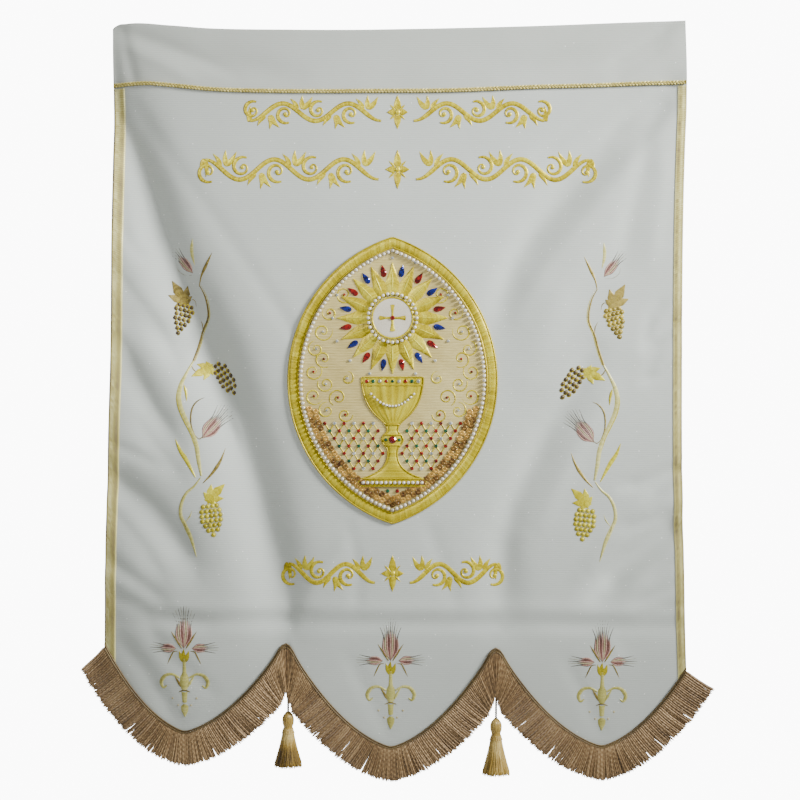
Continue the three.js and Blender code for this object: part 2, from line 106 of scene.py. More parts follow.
def unit(vectors: np.ndarray) -> np.ndarray:
    """Returns the vectors at length 1."""
    return vectors / np.maximum(np.linalg.norm(vectors, axis=-1, keepdims=True), 1e-9)


class Line:
    """A smooth line through measured pairs, level beyond its ends."""

    def __init__(self, pairs: Pairs) -> None:
        """Keeps the pairs and works out the slope at each."""
        self.keys, self.values = (np.array(column, float) for column in zip(*pairs))
        secants = np.diff(self.values) / np.diff(self.keys)
        middle = (secants[:-1] + secants[1:]) / 2
        self.slopes = np.concatenate([secants[:1], middle, secants[-1:]])

    def __call__(self, where: Numbers) -> np.ndarray:
        """Returns the line's value at each place asked for."""
        where = np.clip(where, self.keys[0], self.keys[-1])
        i = np.clip(np.searchsorted(self.keys, where, side="right") - 1, 0, len(self.keys) - 2)
        step = self.keys[i + 1] - self.keys[i]
        t = (where - self.keys[i]) / step
        start = (1 + 2 * t) * (1 - t) ** 2 * self.values[i] + t * (1 - t) ** 2 * step * self.slopes[i]
        end = t * t * (3 - 2 * t) * self.values[i + 1] + t * t * (t - 1) * step * self.slopes[i + 1]
        return start + end


@dataclass(frozen=True)
class Fold:
    """A soft trough (depth above 0) or ridge (depth below 0) along a path in X and Z.

    With a back above 0 the fold is sharp along its path: on its right, as its path runs down, it eases
    away within the spread, and on its left within the back.
    """

    depth: float
    spread: float
    path: Pairs
    taper: float = 0.18
    back: float = 0.0

    def at(self, x: np.ndarray, z: np.ndarray) -> np.ndarray:
        """Returns how deep the fold lies at each point, faded out at both its ends."""
        nearest = np.full(np.shape(x), np.inf)
        along = np.zeros(np.shape(x))
        right = np.zeros(np.shape(x), bool)
        for i, ((ax, az), (bx, bz)) in enumerate(zip(self.path, self.path[1:])):
            dx, dz = bx - ax, bz - az
            share = np.clip(((x - ax) * dx + (z - az) * dz) / (dx * dx + dz * dz), 0, 1)
            distance = np.hypot(x - ax - share * dx, z - az - share * dz)
            closer = distance < nearest
            nearest = np.where(closer, distance, nearest)
            along = np.where(closer, (i + share) / (len(self.path) - 1), along)
            right = np.where(closer, (z - az) * dx - (x - ax) * dz > 0, right)
        fade = smoothstep(np.minimum(along, 1 - along), -self.taper, self.taper)
        section = np.exp(-((nearest / self.spread) ** 2))
        if self.back:
            eased = np.exp(-(np.hypot(nearest, 4) - 4) / self.spread)
            section = np.where(right, eased, np.exp(-((nearest / self.back) ** 2)))
        return self.depth * fade * section


# The hanging shape, the same as in the part's source.
TOP_EDGE = Line(
    ((-401, 3), (-376, 8.4), (-320, 5.6), (-264, 1.4), (-150, -0.6), (-60, -0.8), (0, 0), (72, 1.4))
    + ((190, 4.4), (300, 8.6), (402, 12.4))
)
BRAID_LINE = Line(
    ((-401, -78), (-355, -75.6), (-320, -78.4), (-264, -84), (-180, -86.8), (-12, -86.8))
    + ((72, -86.2), (190, -81.2), (275, -79), (359, -75.6), (404, -74.6))
)
LEFT_EDGE = Line(
    ((-15, -401), (85, -401), (170, -401), (310, -402.5), (450, -404), (590, -407.5))
    + ((730, -412), (860, -415), (930, -416))
)
RIGHT_EDGE = Line(
    ((-15, 402), (85, 404), (170, 401), (310, 398), (450, 397), (590, 397))
    + ((730, 399.5), (860, 402.5), (930, 405.5))
)
MAIN_FOLDS = (
    Fold(8, 34, ((-392, -70), (-335, -285), (-250, -460), (-192, -645), (-160, -815))),
    Fold(-5, 36, ((-396, -190), (-372, -345), (-305, -520), (-250, -700), (-225, -820))),
    Fold(5, 30, ((374, -84), (242, -199), (162, -343), (120, -450))),
    Fold(-3.5, 32, ((396, -130), (300, -240), (225, -360), (190, -480))),
    Fold(4.5, 32, ((215, -550), (140, -703), (146, -830))),
    Fold(3.5, 22, ((-398, -395), (-345, -420), (-293, -455))),
    Fold(3.5, 24, ((-400, -465), (-360, -510), (-318, -567))),
    Fold(5, 26, ((-405, -618), (-350, -680), (-293, -745))),
    Fold(3.5, 24, ((396, -695), (340, -735), (282, -778))),
    Fold(3, 22, ((398, -818), (350, -845), (305, -872))),
    Fold(2.5, 20, ((-392, -4), (-290, -38), (-150, -66))),
    Fold(2.5, 20, ((392, 2), (280, -40), (160, -64))),
)
# Creases too small for the solids.
SMALL_FOLDS = (
    Fold(3.4, 40, ((-396, -190), (-372, -345), (-305, -520), (-250, -700), (-225, -820))),
    Fold(
        9.2, 17,
        ((-398, -88), (-386, -134), (-365, -183), (-346, -232), (-324, -295), (-302, -358), (-280, -420))
        + ((-258, -480), (-240, -530)),
        taper=0.14, back=46,
    ),
    Fold(
        8.8, 25,
        ((-276, -392), (-250, -456), (-233, -512), (-219, -561), (-205, -610), (-185, -680), (-170, -729))
        + ((-158, -778), (-153, -850)),
        back=55,
    ),
    Fold(1.0, 12, ((-380, -92), (-292, -218), (-187, -365), (-117, -470))),
    Fold(4.4, 15, ((-404, 30), (-403, -40), (-402, -90), (-404, -150))),
    Fold(1.6, 9, ((-388, 4), (-380, -36), (-370, -76))),
    Fold(1.3, 9, ((-386, -2), (-330, -22), (-228, -64))),
    Fold(-1.1, 9, ((-380, -24), (-330, -48), (-290, -70))),
    Fold(2.6, 9, ((-394, -340), (-376, -366), (-348, -400), (-327, -436), (-306, -478)), back=18),
    Fold(3.2, 11, ((-398, -425), (-383, -446), (-362, -492), (-341, -534), (-306, -583)), back=20),
    Fold(2.0, 10, ((-366, -548), (-341, -582), (-306, -624)), back=16),
    Fold(1.6, 9, ((-406, -580), (-380, -590), (-340, -610))),
    Fold(4.0, 16, ((-408, -612), (-390, -636), (-348, -664), (-313, -706), (-286, -752)), back=26),
    Fold(2.6, 12, ((-410, -668), (-390, -686), (-355, -728), (-330, -768)), back=18),
    Fold(2.4, 12, ((-412, -742), (-380, -764), (-330, -800))),
    Fold(2.6, 13, ((-414, -790), (-376, -806), (-348, -820), (-270, -832))),
    Fold(4.0, 40, ((-428, -660), (-432, -760), (-436, -880), (-436, -1010))),
    Fold(4.0, 22, ((398, -688), (356, -716), (318, -748), (280, -790))),
    Fold(-3.0, 18, ((400, -662), (352, -688), (300, -726), (262, -764))),
    Fold(2.3, 9, ((394, -406), (372, -424), (350, -447))),
    Fold(1.8, 8, ((394, -470), (366, -486), (344, -493))),
    Fold(2.6, 10, ((396, -612), (370, -622), (344, -634), (316, -641))),
    Fold(2.4, 11, ((396, -674), (350, -688), (308, -700))),
    Fold(14.0, 100, ((-466, -790), (-452, -900), (-424, -1030))),
    Fold(1.0, 9, ((-396, -270), (-376, -302), (-358, -322))),
    Fold(0.9, 8, ((-398, -200), (-388, -240), (-382, -290))),
    Fold(2.3, 11, ((-392, -832), (-200, -830), (0, -832), (200, -833), (392, -838))),
    Fold(-1.2, 10, ((-392, -812), (-200, -810), (0, -812), (200, -811), (392, -818))),
    Fold(2.4, 16, ((288, -180), (261, -211), (226, -246), (191, -281), (166, -320), (142, -380))),
    Fold(-1.6, 14, ((390, -110), (340, -170), (274, -250), (214, -320), (166, -400))),
    Fold(1.8, 15, ((386, -84), (366, -116), (350, -150), (341, -198), (324, -268), (312, -330))),
    Fold(-1.0, 13, ((372, -180), (366, -240), (352, -330))),
    Fold(1.1, 10, ((330, -88), (282, -113), (240, -141), (196, -174))),
    Fold(1.0, 9, ((366, -94), (324, -120), (290, -152))),
    Fold(1.4, 9, ((384, 6), (340, -24), (296, -52))),
    Fold(1.0, 9, ((372, -24), (326, -52), (300, -70))),
    Fold(
        3.0, 18,
        ((272, -450), (247, -505), (212, -561), (184, -617), (160, -666), (149, -722), (146, -790)),
    ),
    Fold(-1.4, 14, ((300, -500), (264, -560), (236, -610), (200, -690))),
    Fold(1.2, 9, ((370, -380), (352, -402), (344, -450))),
    Fold(1.0, 8, ((392, -432), (366, -448), (344, -480))),
    Fold(2.4, 14, ((392, -684), (366, -708), (324, -742), (284, -784))),
    Fold(-1.2, 11, ((396, -722), (362, -748), (312, -792))),
    Fold(1.4, 8, ((398, -776), (366, -788), (330, -804))),
    Fold(1.2, 8, ((400, -806), (372, -812), (344, -826))),
    Fold(1.1, 8, ((400, -744), (378, -750), (352, -768))),
    Fold(1.6, 10, ((398, -612), (380, -628), (350, -654))),
    Fold(-0.9, 12, ((-60, -700), (-120, -780), (-150, -850))),
    Fold(0.9, 12, ((40, -690), (66, -760), (80, -812))),
    Fold(0.9, 10, ((-70, -694), (-56, -760), (-60, -812))),
    Fold(0.9, 12, ((-70, -880), (-40, -940), (-15, -990))),
    Fold(0.9, 12, ((232, -880), (262, -940), (284, -990))),
    Fold(1.8, 13, ((-392, -858), (-356, -900), (-312, -972))),
    Fold(1.4, 12, ((-352, -838), (-322, -880), (-262, -930))),
)


class Hanging:
    """The cloth's hanging shape, which every sewn piece follows.

    Below the wavy crease above the lappets the cloth hangs back. Its middle bellies out.
    """

    STEP = 4.0
    LEFT, RIGHT, TOP, BOTTOM = -452.0, 452.0, 44.0, -1084.0
    CREASE_Z, CREASE_WAVE, CREASE_SOFT, CREASE_BACK = -833.0, 5.0, 32.0, 0.108
    BELLY = 7.0
    SMALL_SCALE = 1.15  # how much deeper the small creases are than their table says

    def __init__(self) -> None:
        """Works the depth out once, on a fine grid."""
        self.xs = np.arange(self.LEFT, self.RIGHT + self.STEP, self.STEP)
        self.zs = np.arange(self.BOTTOM, self.TOP + self.STEP, self.STEP)
        x, z = np.meshgrid(self.xs, self.zs)
        self.grid = self.raw(x, z) - float(self.raw(np.zeros(1), np.zeros(1))[0])

    def raw(self, x: np.ndarray, z: np.ndarray) -> np.ndarray:
        """Returns the depth at each point before the origin is set on the top edge."""
        depth = sum(fold.at(x, z) for fold in MAIN_FOLDS)
        depth = depth + self.SMALL_SCALE * sum(fold.at(x, z) for fold in SMALL_FOLDS)
        below = self.CREASE_Z + self.CREASE_WAVE * np.sin(x / 70 + 0.6) - z
        depth = depth + self.CREASE_BACK * 0.5 * (below + np.hypot(below, self.CREASE_SOFT))
        depth = depth - self.BELLY * np.exp(-(((x - 60) / 330) ** 2) - ((z + 520) / 420) ** 2)
        return depth + self.slack(x, z)

    @staticmethod
    def slack(x: np.ndarray, z: np.ndarray) -> np.ndarray:
        """Returns the slight unevenness of stiffened cloth, a few tenths of a millimetre."""
        broad = 0.35 * np.sin(x / 47 + 1.3 * np.sin(z / 83)) * np.sin(z / 61 + np.sin(x / 71))
        return broad + 0.12 * np.sin(x / 19 + np.sin(z / 27)) * np.sin(z / 23 + 0.7 * np.sin(x / 31))

    def depth(self, x: np.ndarray, z: np.ndarray) -> np.ndarray:
        """Returns the depth (Y) of the middle of the cloth at each point."""
        across = np.clip((x - self.LEFT) / self.STEP, 0, len(self.xs) - 1.001)
        up = np.clip((z - self.BOTTOM) / self.STEP, 0, len(self.zs) - 1.001)
        column, row = across.astype(int), up.astype(int)
        u, v = across - column, up - row
        low = lerp(self.grid[row, column], self.grid[row, column + 1], u)
        high = lerp(self.grid[row + 1, column], self.grid[row + 1, column + 1], u)
        return lerp(low, high, v)

    def place(self, x: np.ndarray, z: np.ndarray, height: Numbers) -> np.ndarray:
        """Returns points that stand a height in front of the middle of the cloth."""
        x, z, height = np.broadcast_arrays(np.asarray(x, float), z, height)
        return np.stack([x, self.depth(x, z) - height, z], axis=-1)


@dataclass(frozen=True)
class HemPoint:
    """A corner, tip or valley of the hem. Droop is how far the fringe there hangs straight down."""

    x: float
    z: float
    droop: float = 0.0
    tip: bool = False


class Hem:
    """The scalloped hem, made of half lappets from corner to tip to valley.

    Within VALLEY_REACH of a valley the hem is raised by VALLEY_RISE and rounded more. Strands fan out
    within FAN of a tip, and hang down within DROOP_REACH of an end that has a droop.
    """

    POINTS = (
        HemPoint(-415, -862, 0.3),
        HemPoint(-301.7, -986.6, tip=True),
        HemPoint(-157.8, -855.5, 1),
        HemPoint(-10.5, -1008.3, tip=True),
        HemPoint(136.2, -861, 1),
        HemPoint(286.3, -1006.8, tip=True),
        HemPoint(405, -892.5, 0.08),
    )
    BOW = 0.7
    ROUNDING = 3.5
    VALLEYS = (-157.8, 136.2)
    VALLEY_REACH, VALLEY_RISE, VALLEY_SOFTER = 12, 4.6, 0.9
    FAN, DROOP_REACH = 26, 70

    def ends(self, x: np.ndarray) -> tuple[dict[str, np.ndarray], dict[str, np.ndarray]]:
        """Returns the tip and the upper end of the half lappet at each x, as arrays by name."""
        bounds = np.array([point.x for point in self.POINTS[1:-1]])
        index = np.searchsorted(bounds, x, side="right")
        table = {
            name: np.array([getattr(point, name) for point in self.POINTS], float)
            for name in ("x", "z", "droop")
        }
        is_tip = np.array([point.tip for point in self.POINTS])[index]
        tip_index = np.where(is_tip, index, index + 1)
        end_index = np.where(is_tip, index + 1, index)
        tip = {name: column[tip_index] for name, column in table.items()}
        return tip, {name: column[end_index] for name, column in table.items()}

    def sharp(self, x: np.ndarray, outwards: float) -> np.ndarray:
        """Returns the hem's Z before its tips and valleys are rounded."""
        tip, end = self.ends(x)
        share = (x - end["x"]) / (tip["x"] - end["x"])
        drop = tip["z"] - end["z"]
        z = end["z"] + drop * ((1 + self.BOW) * share - self.BOW * share * share)
        slope = drop * (1 + self.BOW - 2 * self.BOW * share) / (tip["x"] - end["x"])
        return z - outwards * np.hypot(1, slope)

    def __call__(self, x: np.ndarray, outwards: float = 0.0) -> np.ndarray:
        """Returns the hem's Z at each x, moved outwards square to the edge."""
        x = np.asarray(x, float)
        weights = (1, 2, 3, 2, 1)
        near = sum(np.exp(-(((x - valley) / self.VALLEY_REACH) ** 2)) for valley in self.VALLEYS)
        step = self.ROUNDING * (1 + self.VALLEY_SOFTER * near)
        total = sum(w * self.sharp(x + (i - 2) * step, outwards) for i, w in enumerate(weights))
        return total / sum(weights) + self.VALLEY_RISE * near

    def lean(self, x: np.ndarray, reach: float) -> np.ndarray:
        """Returns how far from straight down a strand leans at each x, in radians."""
        tip, end = self.ends(x)
        slope = (self(x + 1) - self(x - 1)) / 2
        from_tip = np.clip(np.abs(x - tip["x"]) / self.FAN, 0, 1)
        way = np.clip(np.abs(x - end["x"]) / self.DROOP_REACH, 0, 1)
        lean = np.arctan(slope) * from_tip * (1 - end["droop"] * (1 - way) ** 2)
        most = np.arcsin(np.clip(0.75 * np.abs(x - end["x"]) / reach, 0, 1))
        return np.where(end["droop"] == 1, np.clip(lean, -most, most), lean)


CLOTH = Hanging()
HEM = Hem()


class Batch:
    """Gathers grids of quads into one mesh, with a tone for each point."""

    def __init__(self) -> None:
        """Starts with nothing in it."""
        self.points: list[np.ndarray] = []
        self.faces: list[np.ndarray] = []
        self.tones: list[np.ndarray] = []
        self.total = 0

    def grids(self, points: np.ndarray, tones: Numbers = 0.0, wrap: bool = False,
              flip: bool = False) -> np.ndarray:
        """Adds equal grids of quads.

        Args:
            points: grids by rows by columns by three coordinates, in millimetres.
            tones: the points' tones from -1, dark, to 1, light, in a shape that fits the grids.
            wrap: whether each row's last point joins its first.
            flip: whether the faces look the other way. Rows down and columns to the right face the front.

        Returns:
            The points' numbers, grids by rows by columns.
        """
        shape = points.shape[:3]
        index = self.total + np.arange(points.size // 3).reshape(shape)
        ring = np.concatenate([index, index[:, :, :1]], axis=2) if wrap else index
        a, b, c, d = ring[:, :-1, :-1], ring[:, :-1, 1:], ring[:, 1:, 1:], ring[:, 1:, :-1]
        order = (a, b, c, d) if flip else (a, d, c, b)
        self.faces.append(np.stack(order, axis=-1).reshape(-1, 4))
        self.points.append(points.reshape(-1, 3))
        self.tones.append(np.broadcast_to(tones, shape).ravel())
        self.total += index.size
        return index

    def band(self, first: np.ndarray, second: np.ndarray) -> None:
        """Adds quads between two rows of points that are already in the mesh."""
        self.faces.append(np.stack([first[:-1], second[:-1], second[1:], first[1:]], axis=-1))

    def tubes(self, centres: np.ndarray, radius: Numbers, sides: int = 8, plies: int = 0, pitch: float = 7.0,
              tones: Numbers = 0.0, phase: Numbers = 0.0) -> None:
        """Adds tubes with tapered ends, twisted from plies where there are any.

        Args:
            centres: tubes by rows by three coordinates.
            radius: the radius, one number or tubes by rows.
            sides: the corners of a section.
            plies: how many plies the thread is twisted from, 0 for a smooth one.
            pitch: the length of one turn of the twist.
            tones: tubes by rows by sides, or a shape that fits them.
            phase: how far round the twist starts, one number or tubes by 1 by 1.
        """
        count, rows, _ = centres.shape
        forward = unit(np.gradient(centres, axis=1))
        side = unit(np.cross(forward, np.array([0.0, -1.0, 0.0])))
        out = np.cross(side, forward)
        steps = np.linalg.norm(np.diff(centres, axis=1), axis=2)
        way = np.concatenate([np.zeros((count, 1)), np.cumsum(steps, axis=1)], axis=1)
        angle = np.arange(sides) * 2 * math.pi / sides
        section = np.ones((count, rows, sides))
        if plies:
            twist = 2 * math.pi * way[:, :, None] / pitch + phase
            section = 0.76 + 0.3 * np.abs(np.cos(plies / 2 * (angle - twist)))
        taper = np.ones(rows)
        taper[[0, -1]] = 0.12
        size = np.broadcast_to(radius, (count, rows))[:, :, None] * section * taper[None, :, None]
        ring = np.cos(angle)[:, None] * side[:, :, None, :] + np.sin(angle)[:, None] * out[:, :, None, :]
        self.grids(centres[:, :, None, :] + size[..., None] * ring, tones, wrap=True)

    def build(self, name: str, material: Material, slot: str, crease: float = 50.0) -> Object:
        """Makes the object, in metres, and lets it ride on the body.

        Args:
            name: the piece's name.
            material: its finish.
            slot: not used.
            crease: the angle in degrees above which an edge stays sharp.

        Returns:
            The object.
        """
        points = np.vstack(self.points) * METRES
        faces = np.vstack(self.faces)
        mesh = bpy.data.meshes.new(name)
        mesh.from_pydata(points.tolist(), [], faces.tolist())
        tone = mesh.attributes.new("tone", "FLOAT", "POINT")
        tone.data.foreach_set("value", np.concatenate(self.tones).astype(np.float32))
        mesh.polygons.foreach_set("use_smooth", np.ones(len(mesh.polygons), bool))
        mesh.set_sharp_from_angle(angle=math.radians(crease))
        mesh.materials.append(material)
        mesh.update()
        piece = bpy.data.objects.new(name, mesh)
        bpy.context.scene.collection.objects.link(piece)
        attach(piece, "root")
        log.info("%s: %d triangles", name, 2 * len(faces))
        return piece


def add(tree: NodeTree, kind: str, inputs: dict | None = None, **settings) -> Node:
    """Adds a node with its settings, and sets or links its inputs.

    Args:
        tree: the material's nodes.
        kind: the node's type, such as ShaderNodeMix.
        inputs: for each input, its value or the output that it is linked from.
        **settings: the node's own properties.

    Returns:
        The node.
    """
    node = tree.nodes.new(kind)
    for name, value in settings.items():
        setattr(node, name, value)
    set_inputs(tree, node, inputs or {})
    return node


def set_inputs(tree: NodeTree, node: Node, inputs: dict) -> None:
    """Sets or links some inputs of a node."""
    for key, value in inputs.items():
        if isinstance(value, NodeSocket):
            tree.links.new(value, node.inputs[key])
        else:
            node.inputs[key].default_value = value


def linear(colour: str) -> tuple[float, float, float, float]:
    """Returns an sRGB hex colour as linear values, with an alpha of 1."""
    values = [int(colour[i : i + 2], 16) / 255 for i in (1, 3, 5)]
    red, green, blue = (v / 12.92 if v <= 0.04045 else ((v + 0.055) / 1.055) ** 2.4 for v in values)
    return red, green, blue, 1.0


def blank_material(name: str) -> tuple[Material, NodeTree, Node]:
    """Returns a new material, its nodes and its empty main shader."""
    material = bpy.data.materials.new(name)
    material.use_nodes = True
    tree = material.node_tree
    tree.nodes.clear()
    shader = add(tree, "ShaderNodeBsdfPrincipled")
    add(tree, "ShaderNodeOutputMaterial", {"Surface": shader.outputs[0]})
    return material, tree, shader


@dataclass(frozen=True)
class WovenCloth:
    """Cloth woven with a rib: the rib catches the light in fine lines, through its bump and also as painted
    light and shade in its colour, and slubs vary it a little.
    """

    name: str
    colour: str
    shade: str
    rib_mm: float
    sparkle: float = 0.0
    metallic: float = 0.0
    roughness: float = 0.62
    sheen: float = 0.25
    relief: float = 0.26

    def make(self) -> Material:
        """Builds the material."""
        material, tree, shader = blank_material(self.name)
        place = add(tree, "ShaderNodeTexCoord").outputs["Object"]
        waves = {"Vector": place, "Scale": 1 / (self.rib_mm * METRES) / WAVE_BANDS, "Distortion": 0.5,
                 "Detail": 2.0, "Detail Scale": 3.0}
        rib = add(tree, "ShaderNodeTexWave", waves, wave_type="BANDS", bands_direction="Z")
        stretched = add(tree, "ShaderNodeMapping", {"Vector": place, "Scale": (90, 90, 900)})
        slub = add(tree, "ShaderNodeTexNoise", {"Vector": stretched.outputs[0], "Scale": 1.0, "Detail": 3.0})
        cloud = add(tree, "ShaderNodeTexNoise", {"Vector": place, "Scale": 9.0, "Detail": 3.0})
        tone = add(tree, "ShaderNodeAttribute", attribute_name="tone")
        # The rib's bands feed the bump and also, through lines and blend, the colour: painted light and shade
        # along the rib, over random slubs and clouds.
        ribbed = {0: 0.3, 2: slub.outputs[0], 3: rib.outputs["Fac"]}
        lines = add(tree, "ShaderNodeMix", ribbed, data_type="FLOAT")
        clouded = {0: 0.5, 2: lines.outputs[0], 3: cloud.outputs[0]}
        blend = add(tree, "ShaderNodeMix", clouded, data_type="FLOAT")
        toned = add(tree, "ShaderNodeMath", {0: tone.outputs["Fac"], 1: 0.5, 2: blend.outputs[0]},
                    operation="MULTIPLY_ADD")
        wide = add(tree, "ShaderNodeMapRange", {0: toned.outputs[0], 1: 0.25, 2: 0.75})
        colours = {0: wide.outputs[0], 6: linear(self.shade), 7: linear(self.colour)}
        mixed = add(tree, "ShaderNodeMix", colours, data_type="RGBA").outputs[2]
        # The lurex flecks are painted near white under any light: partly the thread's own silver, partly a
        # painted glint.
        if self.sparkle:
            fleck = add(tree, "ShaderNodeTexVoronoi", {"Vector": place, "Scale": 330.0})
            near = add(tree, "ShaderNodeMath", {0: fleck.outputs["Distance"], 1: 0.26}, operation="LESS_THAN")
            cell = add(tree, "ShaderNodeSeparateColor", {0: fleck.outputs["Color"]})
            rare = add(tree, "ShaderNodeMath", {0: cell.outputs[0], 1: self.sparkle}, operation="LESS_THAN")
            both = add(tree, "ShaderNodeMath", {0: near.outputs[0], 1: rare.outputs[0]}, operation="MULTIPLY")
            mixed = add(tree, "ShaderNodeMix", {0: both.outputs[0], 6: mixed, 7: linear("#f2f3ef")},
                        data_type="RGBA").outputs[2]
        rough = add(tree, "ShaderNodeMapRange",
                    {0: slub.outputs[0], 3: self.roughness - 0.1, 4: self.roughness + 0.1})
        bump = add(tree, "ShaderNodeBump",
                   {"Height": lines.outputs[0], "Strength": self.relief, "Distance": 0.0008})
        set_inputs(tree, shader, {
            "Base Color": mixed, "Roughness": rough.outputs[0], "Normal": bump.outputs[0],
            "Metallic": self.metallic, "Sheen Weight": self.sheen, "Sheen Roughness": 0.5,
        })
        return material


@dataclass(frozen=True)
class Thread:
    """Thread, yarn or braid: each strand has its own tone, and fine fibres break up its gloss."""

    name: str
    dark: str
    colour: str
    light: str
    metallic: float = 0.0
    roughness: float = 0.45
    sheen: float = 0.2
    fibre_mm: float = 1.2
    relief: float = 0.5

    def make(self) -> Material:
        """Builds the material."""
        material, tree, shader = blank_material(self.name)
        place = add(tree, "ShaderNodeTexCoord").outputs["Object"]
        tone = add(tree, "ShaderNodeAttribute", attribute_name="tone")
        fibre = add(tree, "ShaderNodeTexNoise",
                    {"Vector": place, "Scale": 1000 / self.fibre_mm, "Detail": 2.0})
        patch = add(tree, "ShaderNodeTexNoise", {"Vector": place, "Scale": 30.0, "Detail": 1.0})
        patched = {0: 0.4, 2: fibre.outputs[0], 3: patch.outputs[0]}
        mixed = add(tree, "ShaderNodeMix", patched, data_type="FLOAT")
        toned = add(tree, "ShaderNodeMath", {0: tone.outputs["Fac"], 1: 0.5, 2: mixed.outputs[0]},
                    operation="MULTIPLY_ADD")
        low = add(tree, "ShaderNodeMapRange", {0: toned.outputs[0], 1: 0.1, 2: 0.5})
        high = add(tree, "ShaderNodeMapRange", {0: toned.outputs[0], 1: 0.5, 2: 0.95})
        darker = {0: low.outputs[0], 6: linear(self.dark), 7: linear(self.colour)}
        first = add(tree, "ShaderNodeMix", darker, data_type="RGBA")
        lighter = {0: high.outputs[0], 6: first.outputs[2], 7: linear(self.light)}
        last = add(tree, "ShaderNodeMix", lighter, data_type="RGBA")
        rough = add(tree, "ShaderNodeMapRange",
                    {0: fibre.outputs[0], 3: self.roughness - 0.12, 4: self.roughness + 0.12})
        bump = add(tree, "ShaderNodeBump",
                   {"Height": fibre.outputs[0], "Strength": self.relief, "Distance": 0.0004})
        set_inputs(tree, shader, {
            "Base Color": last.outputs[2], "Roughness": rough.outputs[0], "Normal": bump.outputs[0],
            "Metallic": self.metallic, "Sheen Weight": self.sheen, "Sheen Roughness": 0.4,
        })
        return material


# Polyester repp, woven with a cross rib and a little lurex: a pale grey satin sheen with sparse white flecks,
# the lurex with a painted glint.
# The real rib is 0.5 mm; drawn 3 mm apart so that it shows.
REPP = WovenCloth("silver grey repp", "#c0c6bf", "#b4bab3", rib_mm=3.0, sparkle=0.012)
# The heading's repp is the panel's cloth painted a little darker: painted shade, to even out the stronger key
# light near the top.
SHADED_HEADING_REPP = WovenCloth("silver grey repp of the heading", "#bbc0b8", "#b0b5ad", rib_mm=3.0, sparkle=0.004)
# Viscose gimp braid plaited round a core, with a gold filament: dull gold with a soft shine on each turn.
GIMP = Thread("gold gimp braid", "#594c16", "#a3933e", "#d4c87a", metallic=0.25, roughness=0.5, sheen=0.05)
# Woven galloon with a gold weft: pale, with darker corded borders.
GALLOON = Thread("pale gold galloon", "#857858", "#b4a962", "#e4de9c", metallic=0.15, roughness=0.46,
                 sheen=0.05)
# Rayon bullion twisted hard from two plies: old gold, with lit crowns and dark gaps.
BULLION = Thread("old gold bullion fringe", "#503a1e", "#8a6e48", "#ccad80", metallic=0.15, roughness=0.48)
BULLION_TAPE = Thread("woven head of the bullion fringe", "#382a14", "#5f4c28", "#8d7644", metallic=0.15)
# Silky rayon floss, cut and hanging: brown in the folds and yellow where it is lit.
FLOSS = Thread("rayon tassel floss", "#43300a", "#9c7d2c", "#ead488", metallic=0.1, roughness=0.38)
TWISTED_CORD = Thread("twisted rayon cord", "#353120", "#686248", "#989172", roughness=0.55)


class Side(Enum):
    """The banner's sides as seen from the front."""

    LEFT = -1
    RIGHT = 1


@dataclass
class Studio:
    """Camera, floor and soft light of a plain studio."""

    focal_mm: float = 85.0
    sensor_mm: float = 36.0
    view_width: float = 1.12
    aim: tuple[float, float] = (0.0021, -0.5194)
    lit: tuple[float, float, float] = (0.07, 0.0, -0.28)
    floor_z: float = -1.35
    ambient: float = 0.34
    paper_white: float = 10.5

    def build(self) -> None:
        """Makes the camera, the lights, the white surroundings and the floor."""
        distance = self.view_width * self.focal_mm / self.sensor_mm
        camera = bpy.data.cameras.new("camera")
        camera.lens, camera.sensor_width = self.focal_mm, self.sensor_mm
        camera.clip_end = 50
        holder = bpy.data.objects.new("camera", camera)
        holder.location = (self.aim[0], -distance, self.aim[1])
        holder.rotation_euler = (math.pi / 2, 0, 0)
        bpy.context.scene.collection.objects.link(holder)
        bpy.context.scene.camera = holder
        self.light("key", (2.6, -1.1, 0.8), 0.8, 26.5, spread=54)
        self.light("fill", (-1.2, -2.6, 0.6), 0.5, 1.3, spread=29)
        self.light("rear", (-0.9, 2.6, 0.5), 2.0, 60.0)
        world = bpy.data.worlds.new("studio")
        world.use_nodes = True
        tree = world.node_tree
        seen = add(tree, "ShaderNodeLightPath").outputs["Is Camera Ray"]
        strength = add(tree, "ShaderNodeMapRange", {0: seen, 3: self.ambient, 4: self.paper_white})
        surroundings = {"Color": linear("#ffffff"), "Strength": strength.outputs[0]}
        set_inputs(tree, tree.nodes["Background"], surroundings)
        bpy.context.scene.world = world
        self.floor()

    def light(self, name: str, at: tuple[float, float, float], size: float, watts: float,
              spread: float = 180) -> None:
        """Adds a square soft light that looks at the middle of the banner.

        Args:
            name: the light's name.
            at: where it stands.
            size: the length of its side.
            watts: its power.
            spread: the angle in degrees that its grid lets through.
        """
        lamp = bpy.data.lights.new(name, "AREA")
        lamp.size, lamp.energy, lamp.spread = size, watts, math.radians(spread)
        holder = bpy.data.objects.new(name, lamp)
        holder.location = at
        away = np.array(at) - np.array(self.lit)
        flat = math.hypot(away[0], away[1])
        holder.rotation_euler = (math.atan2(flat, away[2]), 0, math.atan2(away[0], -away[1]))
        bpy.context.scene.collection.objects.link(holder)

    def floor(self) -> None:
        """Adds the pale floor, below the view."""
        material, tree, shader = blank_material("painted studio floor")
        grain = add(tree, "ShaderNodeTexNoise", {"Scale": 60.0, "Detail": 4.0})
        colours = {0: grain.outputs[0], 6: linear("#e4e4e2"), 7: linear("#ececea")}
        mixed = add(tree, "ShaderNodeMix", colours, data_type="RGBA")
        set_inputs(tree, shader, {"Base Color": mixed.outputs[2], "Roughness": 0.8})
        corners = [(x, y, self.floor_z) for x, y in ((-3, -3.2), (3, -3.2), (3, 1.2), (-3, 1.2))]
        mesh = bpy.data.meshes.new("floor")
        mesh.from_pydata(corners, [], [(0, 1, 2, 3)])
        mesh.materials.append(material)
        floor = bpy.data.objects.new("floor", mesh)
        bpy.context.scene.collection.objects.link(floor)


